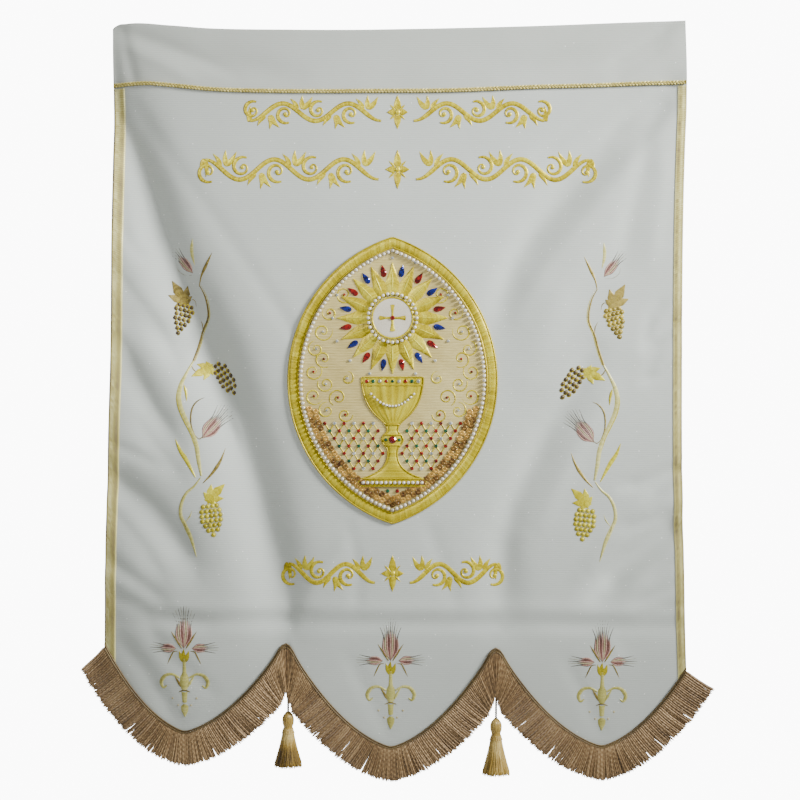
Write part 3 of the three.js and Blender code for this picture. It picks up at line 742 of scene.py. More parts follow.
@dataclass
class Tassel:
    """A tassel on its twisted cord, sewn to the back of the cloth above a valley.

    The profile gives the head's radius at each distance down from its top. A ring of the skirt is its
    number of threads and their distance from the middle, at the neck and at the cut ends. Brown is how much
    of the way the threads go from the top tone to the painted shade down the skirt: painted darker below
    the lit top, and a little lighter again at the cut ends.
    """

    side: Side
    x: float
    head_top: float
    length: float
    cord_top: float
    cord_diameter: float = 3.2
    neck_down: float = 21.5
    behind: float = 3.0
    # brown: how strongly the painted shade down the skirt is laid on.
    brown: float = 1.0
    profile: Pairs = (
        (0, 0.4), (0.5, 2.4), (1.6, 3.6), (3, 4.6), (5, 6.2), (8, 7.5), (12, 8.0), (17, 7.6), (20, 6.8),
        (20.8, 6.3), (22.8, 6.3), (23.8, 6.8), (27, 7.8), (31, 9.0),
    )
    binding: tuple[float, float] = (21.8, 2.2)
    rings: tuple[tuple[int, float, float], ...] = ((100, 6.8, 18.8), (64, 5.0, 14.5), (38, 2.8, 8.5))
    top_tone: float = 0.35
    painted_shade_down: Pairs = ((0, 0.35), (0.25, 0.35), (0.58, -0.45), (0.85, -0.75), (1, -0.4))

    def route(self) -> np.ndarray:
        """Returns the cord's route from its stitches down to the tassel's neck, in millimetres."""
        bottom = self.head_top + 0.3
        heights = (self.cord_top, self.cord_top - 22, (self.cord_top + bottom) / 2, bottom + 12, bottom)
        points = []
        for z in heights:
            depth = float(CLOTH.depth(np.array([self.x]), np.array([z]))[0])
            points.append((self.x, depth + self.behind, z))
        hung = points[-1][1]
        inside = [(self.x, hung, self.head_top - self.neck_down)]
        return smooth_path(points + inside, 4.8)

    def build_cord(self, material: Material) -> Object:
        """Makes the cord from three plies."""
        batch = Batch()
        fine = smooth_path(self.route(), 0.8)[None]
        batch.tubes(fine, self.cord_diameter / 2, sides=12, plies=3, pitch=9.0)
        piece = batch.build(f"twisted_cord_{self.side.name.lower()}", material, "cord")
        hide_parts(f"tassel_cord_{self.side.name.lower()}")
        return piece

    def build_head(self, batch: Batch, y: float) -> None:
        """Adds the wound head, with its threads running down and a binding round its neck."""
        sides = 72
        at = np.linspace(0, self.profile[-1][0], 64)
        angle = -np.arange(sides) * 2 * math.pi / sides
        bound_at, bound_reach = self.binding
        bound = (np.abs(at - bound_at) < bound_reach)[:, None]
        ribs = 1 + 0.035 * np.cos(24 * angle)[None, :] * (at[:, None] > 2)
        wound = 0.35 * np.abs(np.sin(at * math.pi / 1.1))[:, None]
        size = Line(self.profile)(at)[:, None]
        size = np.where(bound, size + wound, size * ribs)
        spots = (size * np.cos(angle), size * np.sin(angle), np.broadcast_to(-at[:, None], size.shape))
        ring = np.stack(spots, axis=-1) + np.array([self.x, y, self.head_top])
        # The wound ribs' crowns are painted lighter and the grooves between them darker, following the ribs
        # of the shape: painted light and shade.
        tones = np.where(bound, 0.15, 0.1 + 0.35 * np.cos(24 * angle))
        batch.grids(ring[None], tones[None], wrap=True)

    def build_skirt(self, batch: Batch, y: float) -> None:
        """Adds the skirt's threads in rings, spreading to the cut ends."""
        rows = np.linspace(0, 1, 11)
        for ring, (count, root, tip) in enumerate(self.rings):
            number = np.arange(count) + 100 * ring
            angle = (2 * math.pi * (number + 0.3 * uneven(number)) / count)[:, None]
            radius = lerp(root, tip + 0.9 * uneven(number + 7)[:, None], rows[None] ** 1.35)
            down = lerp(23.5, self.length - 1.5 + 1.3 * uneven(number + 31)[:, None], rows[None])
            angle = angle + 0.06 * np.sin(6 * rows[None] + 9 * uneven(number + 3)[:, None])
            spots = (self.x + radius * np.cos(angle), y + radius * np.sin(angle), self.head_top - down)
            thick = lerp(0.6, 1.5, rows[None] ** 0.7) + 0 * radius
            # Painted shade and light: the threads are painted darker below the lit top of the skirt and
            # lighter again at the cut ends, over a random tone per thread.
            along = lerp(self.top_tone, np.interp(rows, *zip(*self.painted_shade_down)), self.brown)
            tones = 0.34 * uneven(number + 57)[:, None, None] + along[None, :, None]
            batch.tubes(np.stack(spots, axis=-1), thick, sides=5, tones=tones)

    def build(self, cord_material: Material, material: Material) -> None:
        name = self.side.name.lower()
        route = self.route()
        cord = self.build_cord(cord_material)
        batch = Batch()
        hung = float(route[-1][1])
        self.build_head(batch, hung)
        self.build_skirt(batch, hung)
        tassel = batch.build(f"floss_tassel_{name}", material, "tassel")
        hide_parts(f"tassel_{name}")


def flat_area(x: np.ndarray, z: np.ndarray) -> float:
    """Returns the area of a grid in X and Z, in square millimetres."""
    across = (x[1:, 1:] - x[:-1, :-1]) * (z[:-1, 1:] - z[1:, :-1])
    down = (z[1:, 1:] - z[:-1, :-1]) * (x[:-1, 1:] - x[1:, :-1])
    return float(np.abs(0.5 * (across - down)).sum())


def closed_sheet(batch: Batch, x: np.ndarray, z: np.ndarray, front: Numbers, back: float,
                 tones: Numbers = 0.0) -> None:
    """Adds a sheet with a front, a back and a rim, whose rows run down and columns to the right."""
    before = batch.grids(CLOTH.place(x, z, front)[None], tones)[0]
    behind = batch.grids(CLOTH.place(x, z, back)[None], tones, flip=True)[0]
    batch.band(behind[0], before[0])
    batch.band(before[-1], behind[-1])
    batch.band(before[:, 0], behind[:, 0])
    batch.band(behind[:, -1], before[:, -1])


@dataclass
class Panel:
    """The panel: a single sheet from the braid to its turned hem."""

    columns: int = 170
    rows: int = 194
    hem_lap: float = 6.0

    def grid(self) -> tuple[np.ndarray, np.ndarray]:
        """Returns the sheet's points in X and Z, rows down and columns to the right."""
        u = np.linspace(0, 1, self.columns + 1)[None, :]
        v = np.linspace(0, 1, self.rows + 1)[:, None]
        z = lerp(-84.0, -930.0, v) + 0 * u
        for _ in range(4):
            x = lerp(LEFT_EDGE(-z), RIGHT_EDGE(-z), u)
            z = lerp(BRAID_LINE(x) - 0.15, HEM(x, self.hem_lap), v)
        return x, z

    def build(self, material: Material, sewn_on: list[Object]) -> Object:
        x, z = self.grid()
        batch = Batch()
        closed_sheet(batch, x, z, CLOTH_FRONT, -CLOTH_FRONT)
        piece = batch.build("ribbed_panel", material, "cloth")
        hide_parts("panel")
        size = (float(np.ptp(x)) * METRES, float(np.ptp(z)) * METRES)
        area = flat_area(x, z) * METRES**2
        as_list(sewn_on)
        log.info("panel: %.3f by %.3f m, %.4f m2", *size, area)
        return piece


@dataclass
class Heading:
    """The heading: a strip of the same cloth folded over its own top edge.

    The flat size is the unfolded strip's, in metres. Its area is a little less, since its top edge sags.
    """

    columns: int = 150
    side_rows: int = 21
    turn_rows: int = 9
    cloth_mm: float = 0.7
    half: float = 1.5
    flat: tuple[float, float] = (0.805, 0.178)
    mean_height: float = 0.176

    def build(self, material: Material, sewn_on: list[Object]) -> Object:
        turn = np.linspace(0, math.pi, self.turn_rows)
        rise = np.linspace(0, 1, self.side_rows + 1)[:-1]
        level = np.ones(self.side_rows)
        share = np.concatenate([rise, np.ones(self.turn_rows), rise[::-1]])
        forward = np.concatenate([level, np.cos(turn), -level])
        lift = np.concatenate([0 * level, np.sin(turn), 0 * level])
        u = np.linspace(0, 1, self.columns + 1)[None, :]
        u = u - 0.8 * np.sin(2 * math.pi * u) / (2 * math.pi)
        loops = []
        for radius in (self.half, self.half - self.cloth_mm):
            z = -40.0 + 0 * (u + share[:, None])
            for _ in range(3):
                x = lerp(LEFT_EDGE(-z), RIGHT_EDGE(-z), u)
                curl = 1.9 * np.exp(-(((x + 391) / 7) ** 2)) - 2.6 * np.exp(-(((x + 402) / 2.4) ** 2))
                top = TOP_EDGE(x) - self.half + curl
                z = lerp(BRAID_LINE(x) + 0.15, top, share[:, None]) + radius * lift[:, None]
            loops.append(CLOTH.place(x, z, radius * forward[:, None]))
        batch = Batch()
        outer = batch.grids(loops[0][None], flip=True)[0]
        inner = batch.grids(loops[1][None])[0]
        batch.band(outer[0], inner[0])
        batch.band(inner[-1], outer[-1])
        batch.band(inner[:, 0], outer[:, 0])
        batch.band(outer[:, -1], inner[:, -1])
        piece = batch.build("top_edge_heading", material, "heading")
        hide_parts("heading")
        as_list(sewn_on)
        return piece


@dataclass
class TopBraid:
    """Gimp braid plaited from three strands, over the seam between heading and panel."""

    strand: float = 1.15
    plait_mm: float = 13.5
    half_width: float = 1.9
    middle: float = 3.2

    def build(self, material: Material) -> Object:
        """Makes the plait."""
        x = np.arange(-398.5, 401.8, 1.0)
        phases = 2 * math.pi * (x[None, :] / self.plait_mm + np.arange(3)[:, None] / 3)
        z = BRAID_LINE(x)[None, :] + self.half_width * np.sin(phases)
        height = self.middle + 0.75 * np.sin(2 * phases)
        centres = CLOTH.place(np.broadcast_to(x, z.shape), z, height)
        worn = 0.15 * uneven(np.arange(len(x)) // 4)
        # Where a strand rides over the others it is painted lighter and where it dips under darker, painted
        # light and shade following the plait's height; worn varies the tone at random.
        tones = 0.35 + 0.3 * np.sin(2 * phases)[:, :, None] + worn[None, :, None]
        batch = Batch()
        batch.tubes(centres, self.strand, sides=8, plies=3, pitch=4.2, tones=tones)
        for end, turn in ((x[0], -1), (x[-1], 1)):
            knot_z = float(BRAID_LINE(np.array([end]))[0]) + np.array([3.2, 1.4, -1.4, -3.2])
            knot_x = end + turn * np.array([0, 0.8, 0.8, 0])
            batch.tubes(CLOTH.place(knot_x, knot_z, 3.2)[None], 1.5, sides=8, tones=-0.1)
        piece = batch.build("plaited_braid", material, "braid")
        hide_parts("top_braid")
        return piece


@dataclass
class SideGalloon:
    """A woven galloon down one side, with a corded border at each edge.

    The profile gives the height and the tone at each share of its width, from the cloth's edge inwards.
    """

    side: Side
    inset: float
    width: float
    row_mm: float = 1.6
    patches: int = 24
    profile: tuple[tuple[float, float, float], ...] = (
        (0.0, 1.4, -0.6), (0.03, 2.1, -0.6), (0.08, 2.35, -0.4), (0.14, 2.3, 0.2), (0.2, 2.1, 0.4),
        (0.34, 2.3, 0.5), (0.48, 2.35, 0.2), (0.62, 2.3, -0.2), (0.76, 2.15, -0.3), (0.84, 2.1, 0.0),
        (0.91, 2.0, 0.5), (0.97, 1.8, 0.5), (1.0, 1.35, 0.2),
    )

    def build(self, material: Material) -> Object:
        """Makes the galloon between the braid and the fringe."""
        edge = LEFT_EDGE if self.side is Side.LEFT else RIGHT_EDGE
        share, height, tone = (np.array(column) for column in zip(*self.profile))
        inwards = -self.side.value * (self.inset + self.width * share)
        if self.side is Side.RIGHT:
            inwards, height, tone = inwards[::-1], height[::-1], tone[::-1]
        middle = float(edge(500)) + inwards
        top = BRAID_LINE(middle) - 4.2
        bottom = HEM(middle) + 0.7
        rows = int((top.max() - bottom.min()) / self.row_mm)
        v = np.linspace(0, 1, rows)[:, None]
        z = lerp(top[None, :], bottom[None, :], v)
        x = edge(-z) + inwards[None, :]
        z = lerp(top[None, :], HEM(x[-1:]) + 0.7, v)
        row = np.arange(rows)[:, None]
        weave = 0.22 * np.where(row % 2, 1, -1)
        weft = weave * (height > 2)[None, :]
        blots = 0.35 * uneven(row // 3) * uneven(np.arange(len(share)) // 2)[None, :]
        patch = np.arange(self.patches)
        patches = np.interp(np.linspace(0, patch[-1], rows), patch, uneven(patch + 60 * self.side.value))
        # The weave's raised rows are painted lighter and the sunken ones darker, painted light and shade;
        # blots and patches vary the tone at random.
        tones = tone[None, :] + weave + blots + 0.3 * patches[:, None]
        batch = Batch()
        closed_sheet(batch, x, z, np.maximum(height[None, :] + weft, 1.3), 1.05, tones)
        piece = batch.build(f"woven_galloon_{self.side.name.lower()}", material, "galloon", crease=70)
        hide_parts(f"galloon_{self.side.name.lower()}")
        return piece


@dataclass
class Fringe:
    """One length of bullion fringe, round one lappet: a woven head with two-ply strands.

    The strands crowd together at the lappet's tip, where they fan out, and are longer by a valley, where they
    are also painted darker as shade where two lengths meet.
    The head's profile gives its height at each share of its width. A cord of the head is its distance
    outwards from the hem, its radius and its height.
    """

    name: str
    left: float
    right: float
    paler: float = 0.0
    width: float = 50.0
    root: float = 2.6
    spacing: float = 1.02
    tip_crowd: float = 1.5
    strand: float = 1.22
    pitch: float = 7.8
    glint_mm: float = 6.9
    valley_extra: float = 14.5
    layers: tuple[float, ...] = (4.0, 2.6, 3.3)
    rows: int = 15
    sides: int = 6
    head_width: float = 9.0
    head_profile: Pairs = ((0, 1.4), (0.12, 2.6), (0.35, 2.9), (0.65, 2.9), (0.9, 2.6), (1, 1.8))
    head_cords: tuple[tuple[float, float, float], ...] = ((0.7, 1.0, 2.7), (3.0, 0.9, 4.3))

    def roots(self) -> np.ndarray:
        """Returns where the strands leave the head."""
        x = np.linspace(self.left + 0.35, self.right - 0.35, 1200)
        z = HEM(x, self.root)
        between = (x[1:] + x[:-1]) / 2
        tip, _ = HEM.ends(between)
        fan = 1 + self.tip_crowd * np.exp(-(((between - tip["x"]) / 24) ** 2))
        way = np.concatenate([[0], np.cumsum(np.hypot(np.diff(x), np.diff(z)) * fan)])
        at = np.linspace(0, way[-1], round(way[-1] / self.spacing))
        at[1:-1] += 0.3 * self.spacing * uneven(np.arange(len(at) - 2) + self.left)
        return np.stack([np.interp(at, way, x), np.interp(at, way, z)], axis=1)

    def strands(self, batch: Batch, number_from: int) -> int:
        """Adds the twisted strands in layers, and returns how many there are."""
        root = self.roots()
        count = len(root)
        number = np.arange(count) + number_from
        reach = self.width - self.root
        clump = uneven(number // 5 + 900)
        lean = HEM.lean(root[:, 0], reach) + 0.012 * uneven(number) + 0.01 * clump
        from_valley = np.min([np.abs(root[:, 0] - valley) for valley in HEM.VALLEYS], axis=0)
        extra = self.valley_extra * np.clip(1 - from_valley / 30, 0, 1) ** 1.2
        long = reach + 1.8 * uneven(number + 500) + extra
        share = np.linspace(0, 1, self.rows)[None, :]
        sway = 0.6 * np.sin(3.1 * share + 3 * uneven(number + 40)[:, None]) * share
        bend = lean[:, None] * (1 + 0.12 * (share - 0.5)) + 0 * share
        x = root[:, :1] + np.sin(bend) * long[:, None] * share + sway
        z = root[:, 1:] - np.cos(bend) * long[:, None] * share
        layer = np.array(self.layers)[number % len(self.layers)][:, None]
        lift = layer + 0.5 * uneven(number + 77)[:, None] * share + share * clump[:, None]
        centres = CLOTH.place(x, z, lift)
        # Beside a valley each strand is painted darker: painted shade where two lengths meet; the rest of own
        # varies at random.
        own = 0.16 * uneven(number + 211) + 0.12 * clump - 0.3 * np.exp(-((from_valley / 14) ** 2))
        # glint paints lighter and darker flecks along each strand, a painted highlight on its twist; the
        # tones also fall off a little towards the tips.
        glint = 0.36 * np.cos(2 * math.pi * share * long[:, None] / self.glint_mm + 1.7 * number[:, None])
        tones = self.paler + own[:, None, None] + glint[:, :, None] + 0.2 * (0.4 - share)[:, :, None]
        phase = number[:, None, None] * 1.7
        batch.tubes(centres, self.strand, self.sides, plies=2, pitch=self.pitch, tones=tones, phase=phase)
        return count

    def head(self, batch: Batch) -> None:
        """Adds the woven head and its cords."""
        x = np.linspace(self.left, self.right, 260)
        share, lift = (np.array(column) for column in zip(*self.head_profile))
        z = np.stack([HEM(x, self.head_width * s) for s in share])
        ribs = 0.2 * np.where(np.arange(len(x)) % 2, 1, -1)[None, :]
        # The head's raised ribs are painted lighter and the sunken ones darker, painted light and shade, over
        # a random tone.
        tones = 0.2 + ribs + 0.2 * uneven(np.arange(len(x)) // 3)[None, :] + 0 * z
        closed_sheet(batch, np.broadcast_to(x, z.shape), z, lift[:, None] + ribs, 1.4, tones)
        for outwards, radius, height in self.head_cords:
            path = smooth_path(np.stack([x, HEM(x, outwards)], axis=1), 1.2)
            centres = CLOTH.place(path[:, 0], path[:, 1], height)[None]
            batch.tubes(centres, radius, sides=7, plies=2, pitch=3.6, tones=0.15)

    def build(self, material: Material, tape: Material, number_from: int) -> list[Object]:
        """Makes the strands and their head, and returns both."""
        batch = Batch()
        count = self.strands(batch, number_from)
        strands = batch.build(f"bullion_{self.name}", material, "fringe", crease=75)
        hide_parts(f"fringe_{self.name}")
        head = Batch()
        self.head(head)
        tape_piece = head.build(f"fringe_head_{self.name}", tape, "fringe", crease=60)
        log.info("fringe %s: %d strands", self.name, count)
        return [strands, tape_piece]


class Shade(Enum):
    """Thread colours of the embroidery: rayon and metallised thread in satin stitch, glossy and ridged."""

    GOLD = Thread("gold satin stitch", "#6a5c00", "#bba80a", "#e8e250", metallic=0.3, roughness=0.36, sheen=0)
    YELLOW = Thread("bright yellow satin stitch", "#7a6e00", "#b3a60e", "#dcd648", metallic=0.15,
                    roughness=0.38, sheen=0)
    OLIVE = Thread("olive satin stitch", "#3d3410", "#736322", "#a8964a", metallic=0.15, roughness=0.42)
    PALE = Thread("pale straw satin stitch", "#857e30", "#b3ae5c", "#d4d092", metallic=0.1, roughness=0.42,
                  sheen=0.1)
    BROWN = Thread("dark brown satin stitch", "#211808", "#4a3916", "#7d6830", roughness=0.42)
    TAN = Thread("tan filling stitch", "#8a7d55", "#aea47c", "#cdc6a4", roughness=0.5)
    ROSE = Thread("dusky rose satin stitch", "#7a4c42", "#a87f70", "#cba89a", roughness=0.42)
    WINE = Thread("dark rose satin stitch", "#442822", "#784a42", "#a5726a", roughness=0.42)
    CREAM = Thread("cream satin stitch", "#a09880", "#cfc8b4", "#eeeada", roughness=0.42)
    GREY = Thread("grey running stitch", "#6c6c5e", "#8f8e7c", "#b4b3a0", roughness=0.5)
    SMOKE = Thread("dark grey running stitch", "#2b2823", "#4f4a40", "#7a7466", roughness=0.5)


class Embroidery:
    """Satin stitch in several shades on one part of the cloth, mirrored or moved as a whole."""

    def __init__(self, name: str, base: float = 0.9, mirror: int = 1,
                 shift: tuple[float, float] = (0, 0)) -> None:
        """Starts with no stitches.

        Args:
            name: the start of its pieces' names.
            base: how far the stitches' edges stand in front of the middle of the cloth.
            mirror: -1 to turn the design from left to right about X 0.
            shift: how far the design is moved in X and Z, after the turn.
        """
        self.name = name
        self.base = base
        self.mirror = mirror
        self.shift = shift
        self.shades: dict[Shade, Batch] = {}

    def at(self, points: Points) -> np.ndarray:
        """Returns the design's points in X and Z where they are on the cloth."""
        return np.asarray(points, float) * (self.mirror, 1) + self.shift

    def batch(self, shade: Shade) -> Batch:
        """Returns the stitches of one shade."""
        return self.shades.setdefault(shade, Batch())

    def satin(self, shade: Shade, line: Points, width: float | tuple[float, ...] | np.ndarray,
              height: float = 0.9, slant: float = 0.0, tone: float = 0.0) -> None:
        """Adds a padded band of stitches along a line.

        Args:
            shade: the thread.
            line: points in X and Z.
            width: the band's width, one number or several spread evenly along it.
            height: how high its middle stands.
            slant: how far the stitches point backwards at the band's edges, as a share of its half width.
            tone: how light or dark the thread lies, from -1 to 1.
        """
        path = smooth_path(self.at(line))
        count = len(path)
        widths = np.atleast_1d(np.asarray(width, float))
        half = 0.5 * np.interp(np.linspace(0, 1, count), np.linspace(0, 1, len(widths)), widths)[:, None]
        forward = unit(np.gradient(path, axis=0))
        across = np.array([-1, -0.72, -0.3, 0.3, 0.72, 1.0])[None, :]
        back = -slant * half * np.abs(across)
        x = path[:, :1] - half * across * forward[:, 1:] + back * forward[:, :1]
        z = path[:, 1:] + half * across * forward[:, :1] + back * forward[:, 1:]
        ridge = np.where(np.arange(count) % 2, 1.0, 0.7)[:, None]
        lift = self.base + height * ridge * (1 - across**2) * np.minimum(1, half / 1.2) + 0 * x
        stitch = np.arange(count) // 2 + int(abs(path[0, 0]) * 7)
        # shine paints a highlight across the band, brightest just off its middle and darkest at its edges,
        # and the raised stitches are painted a little lighter: painted light and shade.
        shine = 0.18 * np.cos(2.6 * across - 0.7)
        tones = tone + 0.28 * uneven(stitch)[:, None] + 0.25 * (ridge - 0.85) + shine
        self.batch(shade).grids(CLOTH.place(x, z, lift)[None], tones[None])

    def knots(self, shade: Shade, centres: Points, radius: float, height: float = 1.1,
              tone: float = 0.0) -> None:
        """Adds small round padded spots."""
        spots = self.at(centres)
        mound = ((1.0, 0.0), (0.86, 0.55), (0.5, 0.9), (0.05, 1.0))
        tones = tone + 0.35 * uneven(np.arange(len(spots)))[:, None, None]
        add_buttons(self.batch(shade), spots, radius, self.base, height, mound, 9, tones)

    def leaf(self, shade: Shade, base: Points, tips: Points, width: float, tone: float = 0.0) -> None:
        """Adds a leaf of pointed lobes that share a base."""
        for i, tip in enumerate(tips):
            middle = lerp(np.asarray(base, float), np.asarray(tip, float), 0.5)
            bow = 0.06 * (np.asarray(tip, float) - base)[::-1] * (1, -1) * (1 if i % 2 else -1)
            profile = (0.35 * width, 0.9 * width, width, 0.8 * width, 0.4 * width, 0.3)
            self.satin(shade, (base, middle + bow, tip), profile, 0.8, 0.7, tone + 0.15 * uneven(i + width))

    def vine_leaf(self, shade: Shade, base: Points, towards: float, size: float, veins: Shade,
                  tone: float = 0.0) -> None:
        """Adds a full five-lobed leaf with its veins.

        Args:
            shade: the thread of its lobes.
            base: where its stalk joins it.
            towards: the direction of its tip in degrees, 0 to the right and 90 up.
            size: the length of its middle lobe.
            veins: the thread of its veins.
            tone: how light the lobes are.
        """
        start = np.asarray(base, float)
        lobes = ((-84, 0.4, 0.42), (86, 0.42, 0.42), (-42, 0.68, 0.5), (38, 0.7, 0.5), (0, 1.0, 0.6))
        for i, (turn, reach, width) in enumerate(lobes):
            angle = math.radians(towards + turn)
            way = np.array((math.cos(angle), math.sin(angle))) * size * reach
            widths = np.array((0.6, 1.0, 0.84, 1.0, 0.66, 0.74, 0.4, 0.06)) * width * size
            lean = 0.16 * (1 if i % 2 else -1)
            self.satin(shade, (start, start + way * 0.5, start + way), widths, 0.9, 0.8, tone + lean)
            self.satin(veins, (start, start + way * 0.45, start + way * 0.86), (1.2, 1.5, 0.6), 1.5, 0, 0.1)

    def ear(self, base: Points, towards: float, length: float, width: float, awn: float, count: int) -> None:
        """Adds an ear of wheat: close grains in rose, dark rose and tan, outlined, with grey awns past them.

        Args:
            base: the lower end.
            towards: the ear's direction in degrees, 0 to the right and 90 up.
            length: the length without the awns.
            width: its greatest width.
            awn: how far the awns go on.
            count: how many grains lie side by side.
        """
        start = np.asarray(base, float)
        way = np.array((math.cos(math.radians(towards)), math.sin(math.radians(towards))))
        side = np.array((-way[1], way[0])) * width / 2
        grain = width / count
        for i in range(count):
            share = 2 * (i + 0.5) / count - 1
            reach = length * (1 - 0.3 * share * share)
            foot = start + way * length * 0.08 * abs(share) + side * share * 0.2
            belly = start + way * reach * 0.45 + side * share
            point = start + way * reach + side * share
            past = start + way * (reach + awn) + side * share * 1.6
            self.satin(Shade.GREY if i % 2 else Shade.SMOKE, (belly, point, past), (1.8, 1.7, 0.8), 0.5)
            shade = (Shade.ROSE, Shade.WINE, Shade.ROSE, Shade.TAN)[i % 4]
            widths = (0.8, grain, grain * 1.05, grain * 0.9, 0.5)
            self.satin(shade, (foot, belly, point), widths, 0.9, 0.6, 0.15 * (-1) ** i)
            edge = side * (grain / width)
            outline = (foot + edge * 0.3, belly + edge, point + edge * 0.5)
            self.satin(Shade.SMOKE, outline, (0.8, 1.2, 0.7), 1.1, 0, -0.1)

    def bunch(self, berries: Shade, top: Points, bottom: Points, rows: tuple[int, ...], radius: float = 2.9,
              tone: float = 0.0) -> None:
        """Adds a bunch of grapes on a golden ground, with so many berries in each row from top to bottom."""
        start, end = np.asarray(top, float), np.asarray(bottom, float)
        way = (end - start) / (len(rows) - 1)
        side = unit(np.array((-way[1], way[0])))
        spots = []
        for i, count in enumerate(rows):
            for k in range(count):
                wobble = 0.5 * float(uneven(7 * i + k))
                spots.append(start + way * i + side * ((k - (count - 1) / 2) * radius * 2.15 + wobble))
        ground = Shade.PALE if berries is Shade.YELLOW else Shade.GOLD
        self.knots(ground, np.array(spots), radius * 1.4, 0.5, -0.4)
        self.knots(berries, np.array(spots), radius * 0.94, 1.6, tone)

    def spiral(self, shade: Shade, centre: Points, radius: float, start: float, turns: float,
               width: tuple[float, ...], height: float) -> None:
        """Adds a curl that winds in towards its centre; turns below 0 wind clockwise."""
        share = np.linspace(0, 1, 6 + int(abs(turns) * 10))
        angle = math.radians(start) + 2 * math.pi * turns * share
        size = radius * (1 - share) ** 0.8 + 0.8
        line = np.stack([centre[0] + size * np.cos(angle), centre[1] + size * np.sin(angle)], axis=1)
        self.satin(shade, line, width, height)

    def build(self) -> list[Object]:
        """Makes one piece for each shade and returns them."""
        return [
            batch.build(f"{self.name}_{shade.name.lower()}", THREADS.get(shade), "gold_stitch", crease=80)
            for shade, batch in self.shades.items()
        ]


class ThreadBox:
    """The materials of the embroidery's shades, each made once."""

    def __init__(self) -> None:
        """Starts empty."""
        self.made: dict[Shade, Material] = {}

    def get(self, shade: Shade) -> Material:
        """Returns the shade's material."""
        if shade not in self.made:
            self.made[shade] = shade.value.make()
        return self.made[shade]


THREADS = ThreadBox()


def add_buttons(batch: Batch, centres: np.ndarray, radius: float, base: float, height: float, profile: Pairs,
                sides: int, tones: Numbers = 0.0, outline: np.ndarray | None = None,
                turn: Numbers = 0.0) -> None:
    """Adds small round or drop-shaped bodies that stand on the cloth.

    Args:
        batch: the mesh they join.
        centres: their centres in X and Z.
        radius: their radius.
        base: how far their lower edge stands in front of the middle of the cloth.
        height: how high they are.
        profile: pairs of radius and height from the edge to the top, as shares.
        sides: the corners round each.
        tones: their tones, in a shape that fits bodies by rows by sides.
        outline: the outline's corners in X and Z at radius 1, where it isn't round.
        turn: how far each is turned, in radians.
    """
    angle = -np.arange(sides) * 2 * math.pi / sides
    shape = np.stack([np.cos(angle), np.sin(angle)], axis=1) if outline is None else outline
    turned = np.broadcast_to(turn, len(centres))[:, None, None]
    x = shape[None, None, :, 0] * np.cos(turned) - shape[None, None, :, 1] * np.sin(turned)
    z = shape[None, None, :, 0] * np.sin(turned) + shape[None, None, :, 1] * np.cos(turned)
    share = np.array([row[0] for row in profile])[None, :, None] * radius
    lift = np.array([row[1] for row in profile])[None, :, None] * height
    level = CLOTH.place(centres[:, 0], centres[:, 1], base)[:, None, None, :]
    offsets = np.stack(np.broadcast_arrays(x * share, -lift, z * share), axis=-1)
    batch.grids(level + offsets, tones, wrap=True)


